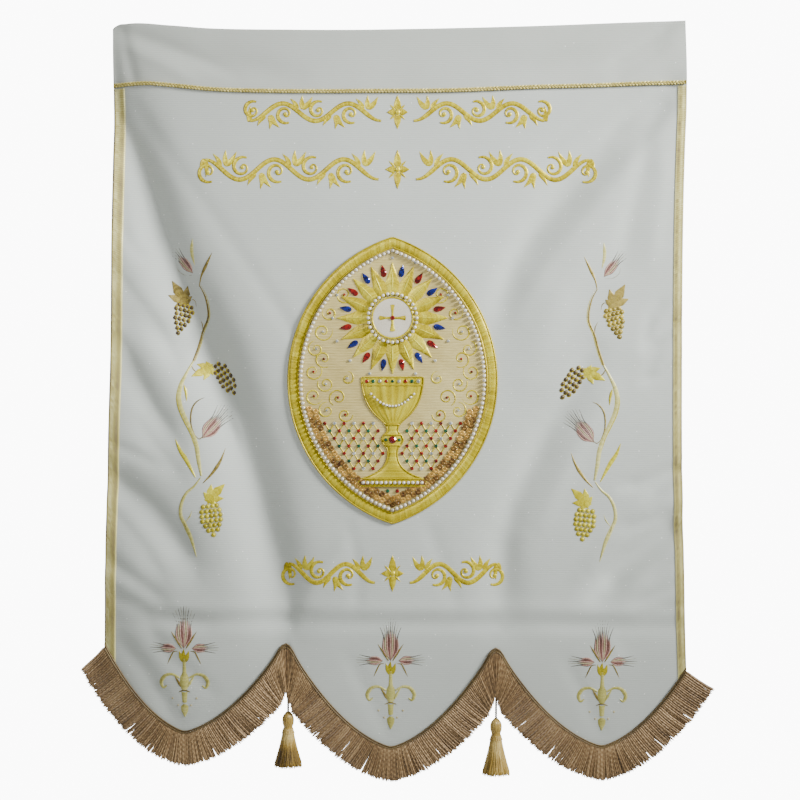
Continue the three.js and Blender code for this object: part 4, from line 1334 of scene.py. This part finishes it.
@dataclass
class Vine:
    """A vine beside the medallion: stem, blades, three bunches of grapes, leaves and two ears of wheat.

    Drawn for the left side. Pale is how much lighter its olive and straw threads and its upper bunch are.
    """

    side: Side
    berries: Shade = Shade.BROWN
    pale: float = 0.0

    def build(self) -> list[Object]:
        """Stitches the vine, turned round and a little lower on the right side."""
        moved = (0.0, 0.0) if self.side is Side.LEFT else (-2.0, -6.0)
        work = Embroidery(f"vine_{self.side.name.lower()}", mirror=-self.side.value, shift=moved)
        self.upper(work)
        self.middle(work)
        self.lower(work)
        return work.build()

    def upper(self, work: Embroidery) -> None:
        """Stitches what lies above the first bend."""
        work.satin(Shade.PALE, ((-289, -293), (-290, -312), (-286, -331)), (0.6, 5.5, 5, 0.6), 0.5, 0.5, 0.3)
        blade = ((-261, -313), (-270, -331), (-277, -346), (-280, -360))
        work.satin(Shade.OLIVE, blade, (0.5, 3.4, 5, 2.4, 1.4), 0.8, 0.5, self.pale)
        work.ear((-289, -341), 130, 33, 12, 14, count=5)
        husk = ((-312, -325), (-311, -336), (-302, -343), (-291, -344))
        work.satin(Shade.GREY, husk, (0.8, 1.4, 1.4, 1), 0.4)
        work.vine_leaf(Shade.OLIVE, (-302, -381), 120, 34, Shade.GOLD, 0.15 + self.pale)
        work.bunch(self.berries, (-301, -387), (-311, -425), (4, 5, 4, 4, 3, 2, 1), 2.8, self.pale)
        stalk = ((-298, -386), (-292, -378), (-287, -380), (-285, -388))
        work.satin(Shade.OLIVE, stalk, (1, 1.6, 1.4, 0.8), 0.6)
        stem = ((-280, -358), (-272, -374), (-268, -393), (-269, -406), (-276, -422), (-282, -444))
        stem += ((-289, -465),)
        work.satin(Shade.OLIVE, stem, (1.2, 2.6, 3.2, 3.2, 3.6, 3.4), 0.8, 0.3, -0.2 + self.pale)
        gold_edge = [(x + 2.4, z) for x, z in stem]
        work.satin(Shade.YELLOW, gold_edge, (0.6, 1.3, 1.4, 1.4, 1.2), 0.6)
        work.satin(Shade.OLIVE, ((-281, -404), (-277, -412), (-276, -422)), (0.6, 1.8, 1.2), 0.6)

    def middle(self, work: Embroidery) -> None:
        """Stitches the middle: the broad pale stem, the dark tendril, a leaf, a bunch and an ear."""
        stem = ((-289, -465), (-298, -482), (-305, -498), (-308, -515), (-305, -532), (-297, -550))
        stem += ((-289, -566), (-283, -584), (-280, -604), (-276, -626))
        work.satin(Shade.PALE, stem, (2.6, 4, 6.5, 8, 8, 7, 6.5, 7, 6, 3), 0.9, 0.5, 0.1 + 0.6 * self.pale)
        work.satin(Shade.YELLOW, [(x - 2.8, z) for x, z in stem[2:8]], (0.6, 1.8, 2, 1.8, 1), 1.0)
        work.satin(Shade.YELLOW, ((-301, -498), (-298, -509), (-297, -521)), (0.8, 4.4, 3.6, 0.8), 1.0, 0.6)
        tendril = ((-273, -516), (-281, -520), (-288, -528), (-291, -541), (-290, -556), (-285, -569))
        work.satin(Shade.OLIVE, tendril, (0.6, 2, 2.6, 2.4, 2, 1), 0.9, 0.3, -0.3 + self.pale)
        work.vine_leaf(Shade.YELLOW, (-266, -474), 206, 28, Shade.OLIVE, 0.3)
        work.satin(Shade.OLIVE, ((-292, -470), (-287, -478), (-280, -480)), (1, 2, 0.8), 0.9)
        work.bunch(Shade.BROWN, (-256, -470), (-231, -509), (2, 4, 4, 4, 4, 3, 1), 2.9)
        work.satin(Shade.OLIVE, ((-285, -569), (-279, -574), (-272, -568)), (1, 1.6, 1), 0.6)
        work.ear((-275, -573), 50, 40, 20, 18, count=9)

    def lower(self, work: Embroidery) -> None:
        """Stitches the lower part: two blades, the yellow bunch with its leaf, and the tapering stem."""
        outer = ((-313, -574), (-306, -590), (-297, -604), (-284, -628))
        work.satin(Shade.YELLOW, outer, (0.6, 5, 7, 5, 1.5), 0.9, 0.6, 0.2)
        inner = ((-243, -587), (-250, -605), (-261, -622), (-274, -636))
        work.satin(Shade.OLIVE, inner, (0.5, 3, 5.4, 3.6, 1.2), 0.9, 0.5, self.pale)
        work.vine_leaf(Shade.YELLOW, (-265, -658), 44, 30, Shade.OLIVE, 0.25)
        work.bunch(Shade.YELLOW, (-264, -668), (-259, -708), (4, 5, 5, 5, 4, 3, 1), 2.9)
        pips = ((-270, -674), (-258, -682), (-265, -692), (-254, -673), (-259, -701))
        work.knots(Shade.OLIVE, pips, 1.2, 2.0)
        stem = ((-277, -628), (-286, -640), (-297, -650), (-304, -665), (-305, -681), (-299, -695))
        stem += ((-291, -713), (-283, -740))
        work.satin(Shade.PALE, stem, (1.6, 3.4, 4.6, 5.2, 5.6, 6.6, 4.4, 0.8), 0.9, 0.5, 0.6 * self.pale)
        work.satin(Shade.OLIVE, ((-302, -684), (-299, -695), (-294, -706)), (0.6, 3, 0.6), 1.1, 0, -0.2)
        work.satin(Shade.PALE, ((-289, -674), (-292, -682), (-298, -690)), (0.6, 2.2, 1), 0.7)


@dataclass
class LappetMotif:
    """The motif of one lappet: three ears of wheat on a stem with curled leaves and a drop under it."""

    name: str
    x: float
    z: float

    def build(self) -> list[Object]:
        """Stitches the motif, which is drawn about X 0 with its calyx at Z 0."""
        work = Embroidery(f"motif_{self.name}", shift=(self.x, self.z))
        work.ear((0, 6), 90, 44, 22, 16, count=9)
        for turn in (-1, 1):
            bract = ((turn * 18, 30), (turn * 11, 19), (turn * 3, 6))
            work.satin(Shade.OLIVE, bract, (0.6, 2.6, 3.2, 1.6), 0.9)
            work.ear((turn * 11, 6), 90 - turn * 88, 24, 12, 14, count=5)
            tendril = ((turn * 9, 2), (turn * 15, 1), (turn * 19, -6), (turn * 24, -17))
            work.satin(Shade.OLIVE, tendril, (1, 2.2, 2.2, 0.6), 0.7)
            curl = ((7, -36), (17, -31), (27, -33), (33, -42), (30, -50), (25, -47))
            scroll = [(turn * x, z) for x, z in curl]
            work.satin(Shade.PALE, scroll, (3, 3.6, 4.8, 6.2, 5.2, 2.0), 1.0, 0.4, -0.05)
            work.satin(Shade.OLIVE, scroll[1:5], (0.6, 2.0, 2.4, 1.2), 1.2, 0, 0.1)
            petal = ((turn * 5, -49), (turn * 9, -41), (turn * 14, -33))
            work.satin(Shade.OLIVE if turn < 0 else Shade.PALE, petal, (1.2, 4.2, 3.4, 0.8), 0.9, 0.6)
            work.knots(Shade.TAN, ((turn * 17, -65), (turn * 9, -75)), 1.8, 0.6)
        work.leaf(Shade.YELLOW, (0, -12), ((-7, 3), (7, 3), (0, 6)), 9.0, -0.3)
        work.satin(Shade.PALE, ((0, -9), (0, -20), (0, -30)), (6.5, 5, 6.5), 0.8, 0.5)
        work.satin(Shade.PALE, ((0, -29), (0, -42), (0, -54)), (5, 12.5, 14, 9.5), 1.1, 0.5, -0.1)
        work.satin(Shade.OLIVE, ((-8, -56), (0, -53.5), (8, -56)), (1.2, 2.6, 1.2), 1.2, 0, -0.2)
        work.satin(Shade.PALE, ((0, -57), (0, -66), (0, -72)), (9.5, 8, 7), 0.9, 0.4)
        work.satin(Shade.PALE, ((0, -74), (0, -81), (0, -92)), (3, 12, 10.5, 2), 1.0, 0.6, -0.1)
        return work.build()


@dataclass
class ScrollBand:
    """A running scroll with leaves and buds in gold satin stitch, the same on both sides of its middle."""

    name: str
    left: float
    right: float
    top: float
    bottom: float
    waves: int

    def build(self) -> list[Object]:
        """Stitches both halves and the flower between them."""
        middle = ((self.left + self.right) / 2, (self.top + self.bottom) / 2)
        pieces = Embroidery(f"band_{self.name}", shift=middle)
        high = (self.top - self.bottom) / 2
        for mirror in (-1, 1):
            pieces.mirror = mirror
            self.half(pieces, (self.right - self.left) / 2, high)
        pieces.mirror = 1
        for i in range(4):
            angle = math.radians(90 * i)
            way = np.array((math.cos(angle), math.sin(angle)))
            reach = high * (0.98 if i % 2 else 0.62)
            pieces.satin(Shade.GOLD, (way * 4, way * reach * 0.6, way * reach), (4, 12, 9, 0.6), 1.1, 0.6)
        for i in range(4):
            angle = math.radians(90 * i + 45)
            way = np.array((math.cos(angle), math.sin(angle)))
            pieces.satin(Shade.GOLD, (way * 5, way * high * 0.62), (1.6, 3.6, 0.6), 0.9, 0.4)
        pieces.knots(Shade.GOLD, ((0, 0),), 4.2, 2.0, 0.3)
        return pieces.build()

    def half(self, work: Embroidery, length: float, high: float) -> None:
        """Stitches the half to the right: a waving stem with a curl and two leaves in each hollow."""
        start = high * 0.95
        step = (length - start) / self.waves
        swing = high * 0.5
        along = np.linspace(0, self.waves, self.waves * 8 + 1)
        stem = np.stack([start + along * step, -swing * np.cos(math.pi * along)], axis=1)
        work.satin(Shade.GOLD, stem, (3.6,) + (7.2,) * (2 * self.waves) + (4.2,), 1.2, 0.4)
        for i in range(self.waves):
            x = start + (i + 0.5) * step
            up = -1 if i % 2 else 1
            hollow = (x + 0.42 * step, -up * high * 0.12)
            work.spiral(Shade.GOLD, hollow, high * 0.5, -up * 115, up * 1.2, (3.0, 6.0, 5.4, 3.6, 2.0), 1.1)
            work.knots(Shade.GOLD, (hollow,), 3.2, 1.6, 0.3)
            rear = np.array((x - 0.12 * step, up * high * 0.2))
            tips = (rear + (-0.3 * step, up * high * 0.72), rear + (0.02 * step, up * high * 0.8))
            work.leaf(Shade.GOLD, rear, tips, 9.0)
            front = rear + (0.16 * step, -up * 0.1)
            work.leaf(Shade.GOLD, front, (rear + (0.4 * step, up * high * 0.62),), 7.5)
        end = stem[-1]
        tips = (end + (high * 0.25, -end[1] * 0.9), end + (-high * 0.05, -end[1] * 1.8))
        work.leaf(Shade.GOLD, end, tips, 8.5)


@dataclass(frozen=True)
class CutGlass:
    """A faceted glass stone with a foil back, fire polished: sharp bright glints on deep colour, and
    facet-sized patches painted lighter and darker, painted reflections.
    """

    name: str
    colour: str
    deep: str
    foil: float = 0.35

    def make(self) -> Material:
        """Builds the material."""
        material, tree, shader = blank_material(self.name)
        place = add(tree, "ShaderNodeTexCoord").outputs["Object"]
        # Facet-sized cells are painted at random between deep and full colour: painted reflections in the
        # facets.
        facet = add(tree, "ShaderNodeTexVoronoi", {"Vector": place, "Scale": 420.0}, feature="F1")
        grey = add(tree, "ShaderNodeSeparateColor", {0: facet.outputs["Color"]})
        colours = {0: grey.outputs[0], 6: linear(self.deep), 7: linear(self.colour)}
        mixed = add(tree, "ShaderNodeMix", colours, data_type="RGBA")
        rough = add(tree, "ShaderNodeMapRange", {0: grey.outputs[1], 3: 0.04, 4: 0.16})
        set_inputs(tree, shader, {
            "Base Color": mixed.outputs[2], "Roughness": rough.outputs[0], "Metallic": self.foil,
            "IOR": 1.54, "Coat Weight": 0.6, "Coat Roughness": 0.04,
        })
        return material


@dataclass(frozen=True)
class Lustre:
    """A smooth bead or pressed spangle: soft colour with a bright reflection and slight mottling."""

    name: str
    colour: str
    shade: str
    metallic: float
    roughness: float
    coat: float = 0.3

    def make(self) -> Material:
        """Builds the material."""
        material, tree, shader = blank_material(self.name)
        place = add(tree, "ShaderNodeTexCoord").outputs["Object"]
        tone = add(tree, "ShaderNodeAttribute", attribute_name="tone")
        mottle = add(tree, "ShaderNodeTexNoise", {"Vector": place, "Scale": 260.0, "Detail": 2.0})
        share = add(tree, "ShaderNodeMath", {0: tone.outputs["Fac"], 1: 0.5, 2: mottle.outputs[0]},
                    operation="MULTIPLY_ADD")
        colours = {0: share.outputs[0], 6: linear(self.shade), 7: linear(self.colour)}
        mixed = add(tree, "ShaderNodeMix", colours, data_type="RGBA", clamp_factor=True)
        rough = add(tree, "ShaderNodeMapRange",
                    {0: mottle.outputs[0], 3: self.roughness - 0.05, 4: self.roughness + 0.08})
        set_inputs(tree, shader, {
            "Base Color": mixed.outputs[2], "Roughness": rough.outputs[0], "Metallic": self.metallic,
            "Coat Weight": self.coat, "Coat Roughness": 0.1,
        })
        return material


# Silk brocade woven with a gilt weft: cream, with a gold cast in its ribs. Drawn with a 2.2 mm rib.
BROCADE = WovenCloth("cream and gilt brocade", "#d9ca8c", "#a48f42", rib_mm=2.2, metallic=0.12, roughness=0.5,
                     relief=0.6)
# Imitation pearl: a glass bead dipped in pearl essence, milky with a soft highlight.
PEARL = Lustre("imitation pearl", "#f0ece2", "#bdb6a6", metallic=0.15, roughness=0.22)
# Cupped spangle of gilt polyester film, stamped: bronze gold that flashes.
SPANGLE = Lustre("bronze gold spangle", "#d9ab50", "#4c2c14", metallic=0.6, roughness=0.3)


class Gem(Enum):
    """The colours of the stones, all foil-backed cut glass."""

    RED = CutGlass("red cut glass", "#a31a10", "#3e0606")
    BLUE = CutGlass("blue cut glass", "#182a8e", "#060b34")
    GREEN = CutGlass("green cut glass", "#1c6e4c", "#052c1e")
    CLEAR = CutGlass("clear cut glass", "#f2f6f8", "#8f989c", foil=0.7)


DROP = np.array([(-math.sin(a) * abs(math.sin(a / 2)) ** 1.1 * 0.62, -math.cos(a))
                 for a in np.arange(16) * 2 * math.pi / 16])
CUT = ((1.0, 0.0), (1.0, 0.35), (0.6, 1.0), (0.02, 1.0))
BEAD = ((0.7, 0.0), (0.98, 0.35), (1.0, 0.5), (0.88, 0.78), (0.55, 0.96), (0.05, 1.0))
CUPPED = ((1.0, 0.35), (0.75, 0.9), (0.3, 0.55), (0.12, 0.2))


@dataclass
class Medallion:
    """The applique: a pointed oval of brocade with a corded border, a ray disc with a host, and a cup."""

    x: float = -8.4
    z: float = -492.0
    half_width: float = 146.0
    half_height: float = 200.0
    border: float = 13.0
    glory_z: float = -405.0
    rays: int = 16
    host: float = 31.0
    cup: Line = Line(
        ((487, 43), (492, 43.2), (505, 41.5), (518, 38), (530, 32), (540, 24), (548, 15), (555, 9), (564, 8))
        + ((568, 12), (575, 15), (582, 12), (587, 8), (599, 7), (608, 10), (615, 15), (621, 23), (626, 33))
        + ((630, 44), (633, 47), (640, 47))
    )

    def __post_init__(self) -> None:
        """Works out the two arcs that the oval is made of."""
        self.radius = (self.half_width**2 + self.half_height**2) / (2 * self.half_width)
        self.away = self.radius - self.half_width
        self.stones: dict[Gem, Batch] = {}
        self.pearls = Batch()
        self.spangles = Batch()

    def half_at(self, z: np.ndarray, inwards: float) -> np.ndarray:
        """Returns the oval's half width at each Z, drawn in by some distance."""
        square = (self.radius - inwards) ** 2 - (z - self.z) ** 2
        return np.maximum(np.sqrt(np.maximum(square, 0)) - self.away, 0)

    def rim(self, inwards: float, step: float, turn: int) -> np.ndarray:
        """Returns points down one side of the oval, the right for turn 1 and the left for turn -1."""
        size = self.radius - inwards
        reach = math.acos(self.away / size)
        angle = np.linspace(reach, -reach, max(3, round(2 * reach * size / step)))
        across = turn * (size * np.cos(angle) - self.away)
        return np.stack([self.x + across, self.z + size * np.sin(angle)], axis=1)

    def gem(self, gem: Gem, centres: Points, radius: float, base: float, turn: float = 0.0,
            drop: bool = False) -> None:
        """Sets stones of one colour, round or drop-shaped."""
        batch = self.stones.setdefault(gem, Batch())
        sides = 16 if drop else 8
        outline = DROP if drop else None
        add_buttons(batch, np.asarray(centres, float), radius, base, 1.9, CUT, sides, 0.0, outline, turn)

    def string(self, points: np.ndarray, radius: float, base: float) -> None:
        """Sews a pearl at each point."""
        tones = 0.3 * uneven(np.arange(len(points)) * 3)[:, None, None]
        add_buttons(self.pearls, points, radius, base, 2 * radius, BEAD, 10, tones)

    def build_ground(self) -> Object:
        v = np.linspace(0.996, -0.996, 130)[:, None]
        u = np.linspace(-1, 1, 61)[None, :]
        z = self.z + v * self.half_height + 0 * u
        half = self.half_at(z, 0.3)
        x = self.x + u * half
        inside = half * (1 - np.abs(u))
        puff = 0.25 * np.sin(x / 6.5) * np.sin(z / 6.5)
        batch = Batch()
        closed_sheet(batch, x, z, 2.6 + puff * np.minimum(1, inside / 12) - 0.9 * np.exp(-inside / 3), 1.05)
        piece = batch.build("brocade_ground", BROCADE.make(), "brocade")
        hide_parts("medallion_ground")
        return piece

    def build_border(self) -> Object:
        """Makes the padded satin border with a cord along both its edges."""
        batch = Batch()
        for turn in (1, -1):
            depths = np.array([1, 0.88, 0.68, 0.4, 0.2, 0.07, 0.0]) * self.border
            if turn < 0:
                depths = depths[::-1]
            length = len(self.rim(0, STITCH / 2, turn))
            lines = []
            for depth in depths:
                line = self.rim(float(depth), STITCH / 2, turn)
                at, number = np.linspace(0, len(line) - 1, length), np.arange(len(line))
                lines.append(np.stack([np.interp(at, number, column) for column in line.T], axis=1))
            path = np.stack(lines, axis=1)
            s = 2 * depths / self.border - 1
            ridge = np.where(np.arange(length) % 2, 1.0, 0.8)[:, None]
            lift = 2.5 + 2.1 * (1 - np.abs(s) ** 2.4) * ridge
            own = 0.3 * uneven(np.arange(length) // 2)[:, None]
            # The raised stitches are painted lighter and the band darker towards its edges, where its padding
            # falls away: painted light and shade over a random tone per stitch.
            tones = own + 0.6 * (ridge - 0.9) - 0.2 * np.abs(s) + 0.1
            batch.grids(CLOTH.place(path[..., 0], path[..., 1], lift)[None], tones[None])
            for depth in (0.2, self.border + 0.6):
                line = self.rim(depth, 1.0, turn)
                centres = CLOTH.place(line[:, 0], line[:, 1], 3.0)[None]
                batch.tubes(centres, 1.25, plies=2, pitch=4.0, tones=-0.25)
        piece = batch.build("corded_border", THREADS.get(Shade.GOLD), "gold_stitch", crease=80)
        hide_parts("medallion_border")
        return piece

    def build_glory(self) -> list[Object]:
        """Makes the rays with drop-shaped stones between their points, and the host in their middle."""
        middle = np.array((self.x, self.glory_z))
        work = Embroidery("glory", base=2.5)
        for i in range(self.rays):
            angle = 2 * math.pi * i / self.rays
            way = np.array((math.sin(angle), math.cos(angle)))
            ray = [middle + way * reach for reach in (30, 54, 78)]
            work.satin(Shade.GOLD, ray, (11.4, 16, 20.8, 11.5, 0.8), 1.9, 0.55, 0.12 * (-1) ** i)
            vein = [middle + way * reach for reach in (34, 52, 70)]
            work.satin(Shade.YELLOW, vein, (1, 3.4, 0.8), 2.5, 0.4, 0.5)
            half = angle + math.pi / self.rays
            beside = np.array((math.sin(half), math.cos(half)))
            gem = Gem.RED if i % 2 else Gem.BLUE
            self.gem(gem, [middle + beside * 67], 8.8, 2.6, math.pi - half, drop=True)
            self.gem(Gem.CLEAR, [middle + way * 84], 2.3, 2.6)
        pieces = work.build()
        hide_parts("medallion_glory")
        ring = np.arange(32) * 2 * math.pi / 32
        self.string(middle + 34.0 * np.stack([np.cos(ring), np.sin(ring)], axis=1), 2.4, 4.0)
        disc = Batch()
        flat = ((1, 0.0), (0.985, 0.6), (0.94, 0.9), (0.8, 1), (0.5, 1.06), (0.2, 1.1), (0.01, 1.1))
        add_buttons(disc, middle[None], self.host - 0.4, 3.6, 2.2, flat, 72)
        host = disc.build("satin_host", THREADS.get(Shade.CREAM), "cream")
        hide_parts("medallion_host")
        cross = Embroidery("host_cross", base=5.9)
        turn = np.linspace(0, 2 * math.pi, 60)
        circle = middle + 28.4 * np.stack([np.cos(turn), np.sin(turn)], axis=1)
        cross.satin(Shade.GOLD, circle, 3.0, 0.9, 0, -0.1)
        for way in np.array(((1.0, 0.0), (0.0, 1.0), (-1.0, 0.0), (0.0, -1.0))):
            arm = [middle + way * reach for reach in (1.5, 11, 19)]
            cross.satin(Shade.GOLD, arm, (3.6, 4.0, 7.5), 1.0, 0.3)
        self.gem(Gem.RED, [middle], 3.4, 6.2)
        return [*pieces, host, *cross.build()]

    def build_cup(self) -> Object:
        """Makes the cup: a fluted bowl, a knop and a foot, with corded edges, pearls and stones."""
        z = -np.arange(487, 640.01, 0.95)[:, None]
        s = np.linspace(-1, 1, 35)[None, :]
        half = self.cup(-z)
        x = self.x + s * half
        bowl = smoothstep(z, -552, -545)
        flutes = 0.7 * np.abs(np.cos(3.5 * math.pi * s)) * bowl
        ridge = np.where(np.arange(len(z)) % 2, 0.0, -0.35)[:, None] * (1 - bowl)
        lift = 2.5 + 2.4 * (1 - np.abs(s) ** 2.6) + flutes + ridge
        # On the bowl the flutes' crowns are painted lighter, and the whole cup darker towards its sides where
        # it curves away: painted light and shade over a random tone per stitch.
        upright = 0.25 * uneven(np.round((s + 1) * 17) + 3) + 0.55 * (flutes - 0.35)
        level = 0.3 * uneven(np.arange(len(z)) // 2)[:, None] + 0 * s
        tones = lerp(level, upright, bowl)
        batch = Batch()
        batch.grids(CLOTH.place(x, z + 0 * s, lift)[None], (tones + 0.1 - 0.15 * np.abs(s))[None])
        for turn in (-1, 1):
            edge = CLOTH.place(self.x + turn * half[:, 0], z[:, 0], 3.0)[None]
            batch.tubes(edge, 1.2, plies=2, pitch=4.0, tones=-0.3)
        along = np.linspace(-1, 1, 60)
        for height in (-487.6, -499.0, -553.5, -568.0, -582.5, -629.5, -639.5):
            across = self.x + along * float(self.cup(-height))
            band = CLOTH.place(across, height, 5.0 - 2.0 * np.abs(along) ** 3)[None]
            batch.tubes(band, 1.2, plies=2, pitch=4.0, tones=-0.15)
        piece = batch.build("fluted_cup", THREADS.get(Shade.GOLD), "gold_stitch", crease=80)
        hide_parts("medallion_chalice")
        for i, across in enumerate(np.linspace(-36, 36, 9)):
            gem = (Gem.RED, Gem.GREEN, Gem.CLEAR)[i % 3]
            self.gem(gem, [(self.x + across, -493.4)], 2.9, 4.3)
        self.gem(Gem.RED, [(self.x, -575)], 5.4, 4.9)
        self.gem(Gem.GREEN, [(self.x - 9.5, -575), (self.x + 9.5, -575)], 2.4, 4.4)
        foot = np.stack([self.x + np.linspace(-41, 41, 14), np.full(14, -634.6)], axis=1)
        self.string(foot, 2.4, 4.2)
        swag = np.linspace(-1, 1, 15)
        self.string(np.stack([self.x + 30 * swag, -511 - 17 * (1 - swag**2)], axis=1), 1.9, 4.8)
        return piece

    def build_scrolls(self) -> list[Object]:
        """Makes the gold curls of the brocade above and beside the cup."""
        work = Embroidery("brocade_curls", base=2.5, shift=(self.x, 0))
        curls = (
            (96, -372, 12, 200, 1.4), (111, -398, 10, 20, -1.3), (103, -424, 13, 160, 1.5),
            (119, -448, 11, 80, -1.4), (96, -462, 12, 240, 1.3), (116, -480, 12, 120, 1.5),
            (93, -497, 11, 20, -1.4), (112, -514, 12, 200, 1.4), (76, -516, 12, 300, 1.4),
            (92, -534, 11, 90, -1.3), (66, -540, 10, 180, 1.3), (63, -489, 9, 90, 1.2),
        )
        for mirror in (-1, 1):
            work.mirror = mirror
            for across, z, radius, start, turns in curls:
                across = min(across, float(self.half_at(z, 23)) - radius)
                work.spiral(Shade.GOLD, (across, z), radius, start, turns, (1.2, 2.4, 2.2, 1.4), 0.9)
                spot = work.at(((across, z),))
                self.gem(Gem.CLEAR if radius % 2 else Gem.RED, spot, 1.9, 2.6)
        return work.build()

    def free(self, x: np.ndarray, z: np.ndarray, inwards: float) -> np.ndarray:
        """Returns where the ground below the cup's bowl has nothing else on it."""
        inside = np.abs(x - self.x) < self.half_at(z, inwards)
        beside = np.abs(x - self.x) > np.where(z > -645, self.cup(-z) + 6.5, 0)
        return inside & beside & (z < -548)

    def build_lattice(self) -> list[Object]:
        """Makes the lower ground's lattice of thread with a stone at each crossing, and the spangled edge."""
        work = Embroidery("lattice", base=2.5)
        rows, columns = np.meshgrid(np.arange(12), np.arange(-9, 10), indexing="ij")
        x = self.x + (columns + 0.5 * (rows % 2)) * 13.5
        z = -552 - rows * 10.5
        open_here = self.free(x, z, 38)
        gems = (Gem.RED, Gem.GREEN, Gem.CLEAR, Gem.RED)
        for row, column in np.argwhere(open_here):
            spot = (x[row, column], z[row, column])
            self.gem(gems[(row + 2 * column) % 4], [spot], 2.7, 3.0)
            for side in (-6.75, 6.75):
                other = (spot[0] + side, spot[1] - 10.5)
                if self.free(*np.array(other), 38):
                    work.satin(Shade.GOLD, (spot, other), 2.0, 0.8, 0, -0.2)
        for inwards in (25.2, 33.0):
            for turn in (-1, 1):
                line = self.rim(inwards, 7.9, turn)
                line = line[line[:, 1] < -528]
                stripe = np.where(np.arange(len(line)) % 4 < 2, 0.55, -0.55)
                tones = stripe[:, None, None] + 0.2 * uneven(np.arange(len(line)) + inwards)[:, None, None]
                add_buttons(self.spangles, line, 4.3, 2.7 + 0.02 * inwards, 1.2, CUPPED, 14, tones)
        return work.build()

    def build(self) -> list[Object]:
        """Makes the whole medallion and returns its pieces."""
        pieces = [self.build_ground(), self.build_border(), *self.build_glory(), self.build_cup()]
        pieces += [*self.build_scrolls(), *self.build_lattice()]
        for turn in (-1, 1):
            self.string(self.rim(18.0, 6.3, turn), 2.5, 2.6)
        pieces.append(self.pearls.build("pearl_strings", PEARL.make(), "cream"))
        pieces.append(self.spangles.build("spangled_edge", SPANGLE.make(), "gold_stitch"))
        for gem, batch in self.stones.items():
            name = f"stones_{gem.name.lower()}"
            pieces.append(batch.build(name, gem.value.make(), "gold_stitch", crease=20))
        return pieces


def main() -> None:
    """Builds the banner's pieces in order."""
    Studio().build()
    cord, floss = TWISTED_CORD.make(), FLOSS.make()
    tassels = (
        Tassel(Side.LEFT, x=-155.4, head_top=-957.6, length=79.0, cord_top=-846.0),
        # The right tassel gets less of the painted shade down its skirt.
        Tassel(Side.RIGHT, x=137.4, head_top=-967.4, length=81.0, cord_top=-852.0, brown=0.45),
    )
    for tassel in tassels:
        tassel.build(cord, floss)
    galloon = GALLOON.make()
    sewn = [
        SideGalloon(Side.LEFT, inset=1.0, width=15.4).build(galloon),
        SideGalloon(Side.RIGHT, inset=0.5, width=12.4).build(galloon),
    ]
    bullion, tape = BULLION.make(), BULLION_TAPE.make()
    first, second = HEM.VALLEYS
    lengths = (
        Fringe("left", float(LEFT_EDGE(868)), first - 0.15, paler=0.14),
        Fringe("middle", first + 0.15, second - 0.15),
        Fringe("right", second + 0.15, float(RIGHT_EDGE(895))),
    )
    for i, length in enumerate(lengths):
        sewn += length.build(bullion, tape, 1000 * i)
    sewn += Vine(Side.LEFT).build() + Vine(Side.RIGHT, Shade.OLIVE, pale=0.5).build()
    for name, x, z in (("left", -301, -874), ("middle", -11, -891), ("right", 286, -893)):
        sewn += LappetMotif(name, x, z).build()
    sewn += ScrollBand("upper", left=-208, right=205, top=-92.5, bottom=-141, waves=4).build()
    sewn += ScrollBand("second", left=-271, right=268, top=-169, bottom=-225, waves=5).build()
    sewn += ScrollBand("lower", left=-155, right=138, top=-736, bottom=-788, waves=3).build()
    sewn += Medallion().build()
    braid = TopBraid().build(GIMP.make())
    Heading().build(SHADED_HEADING_REPP.make(), [braid])
    Panel().build(REPP.make(), sewn)


if __name__ == "__main__":
    logging.basicConfig(level=logging.INFO, format="%(name)s: %(message)s")
    main()
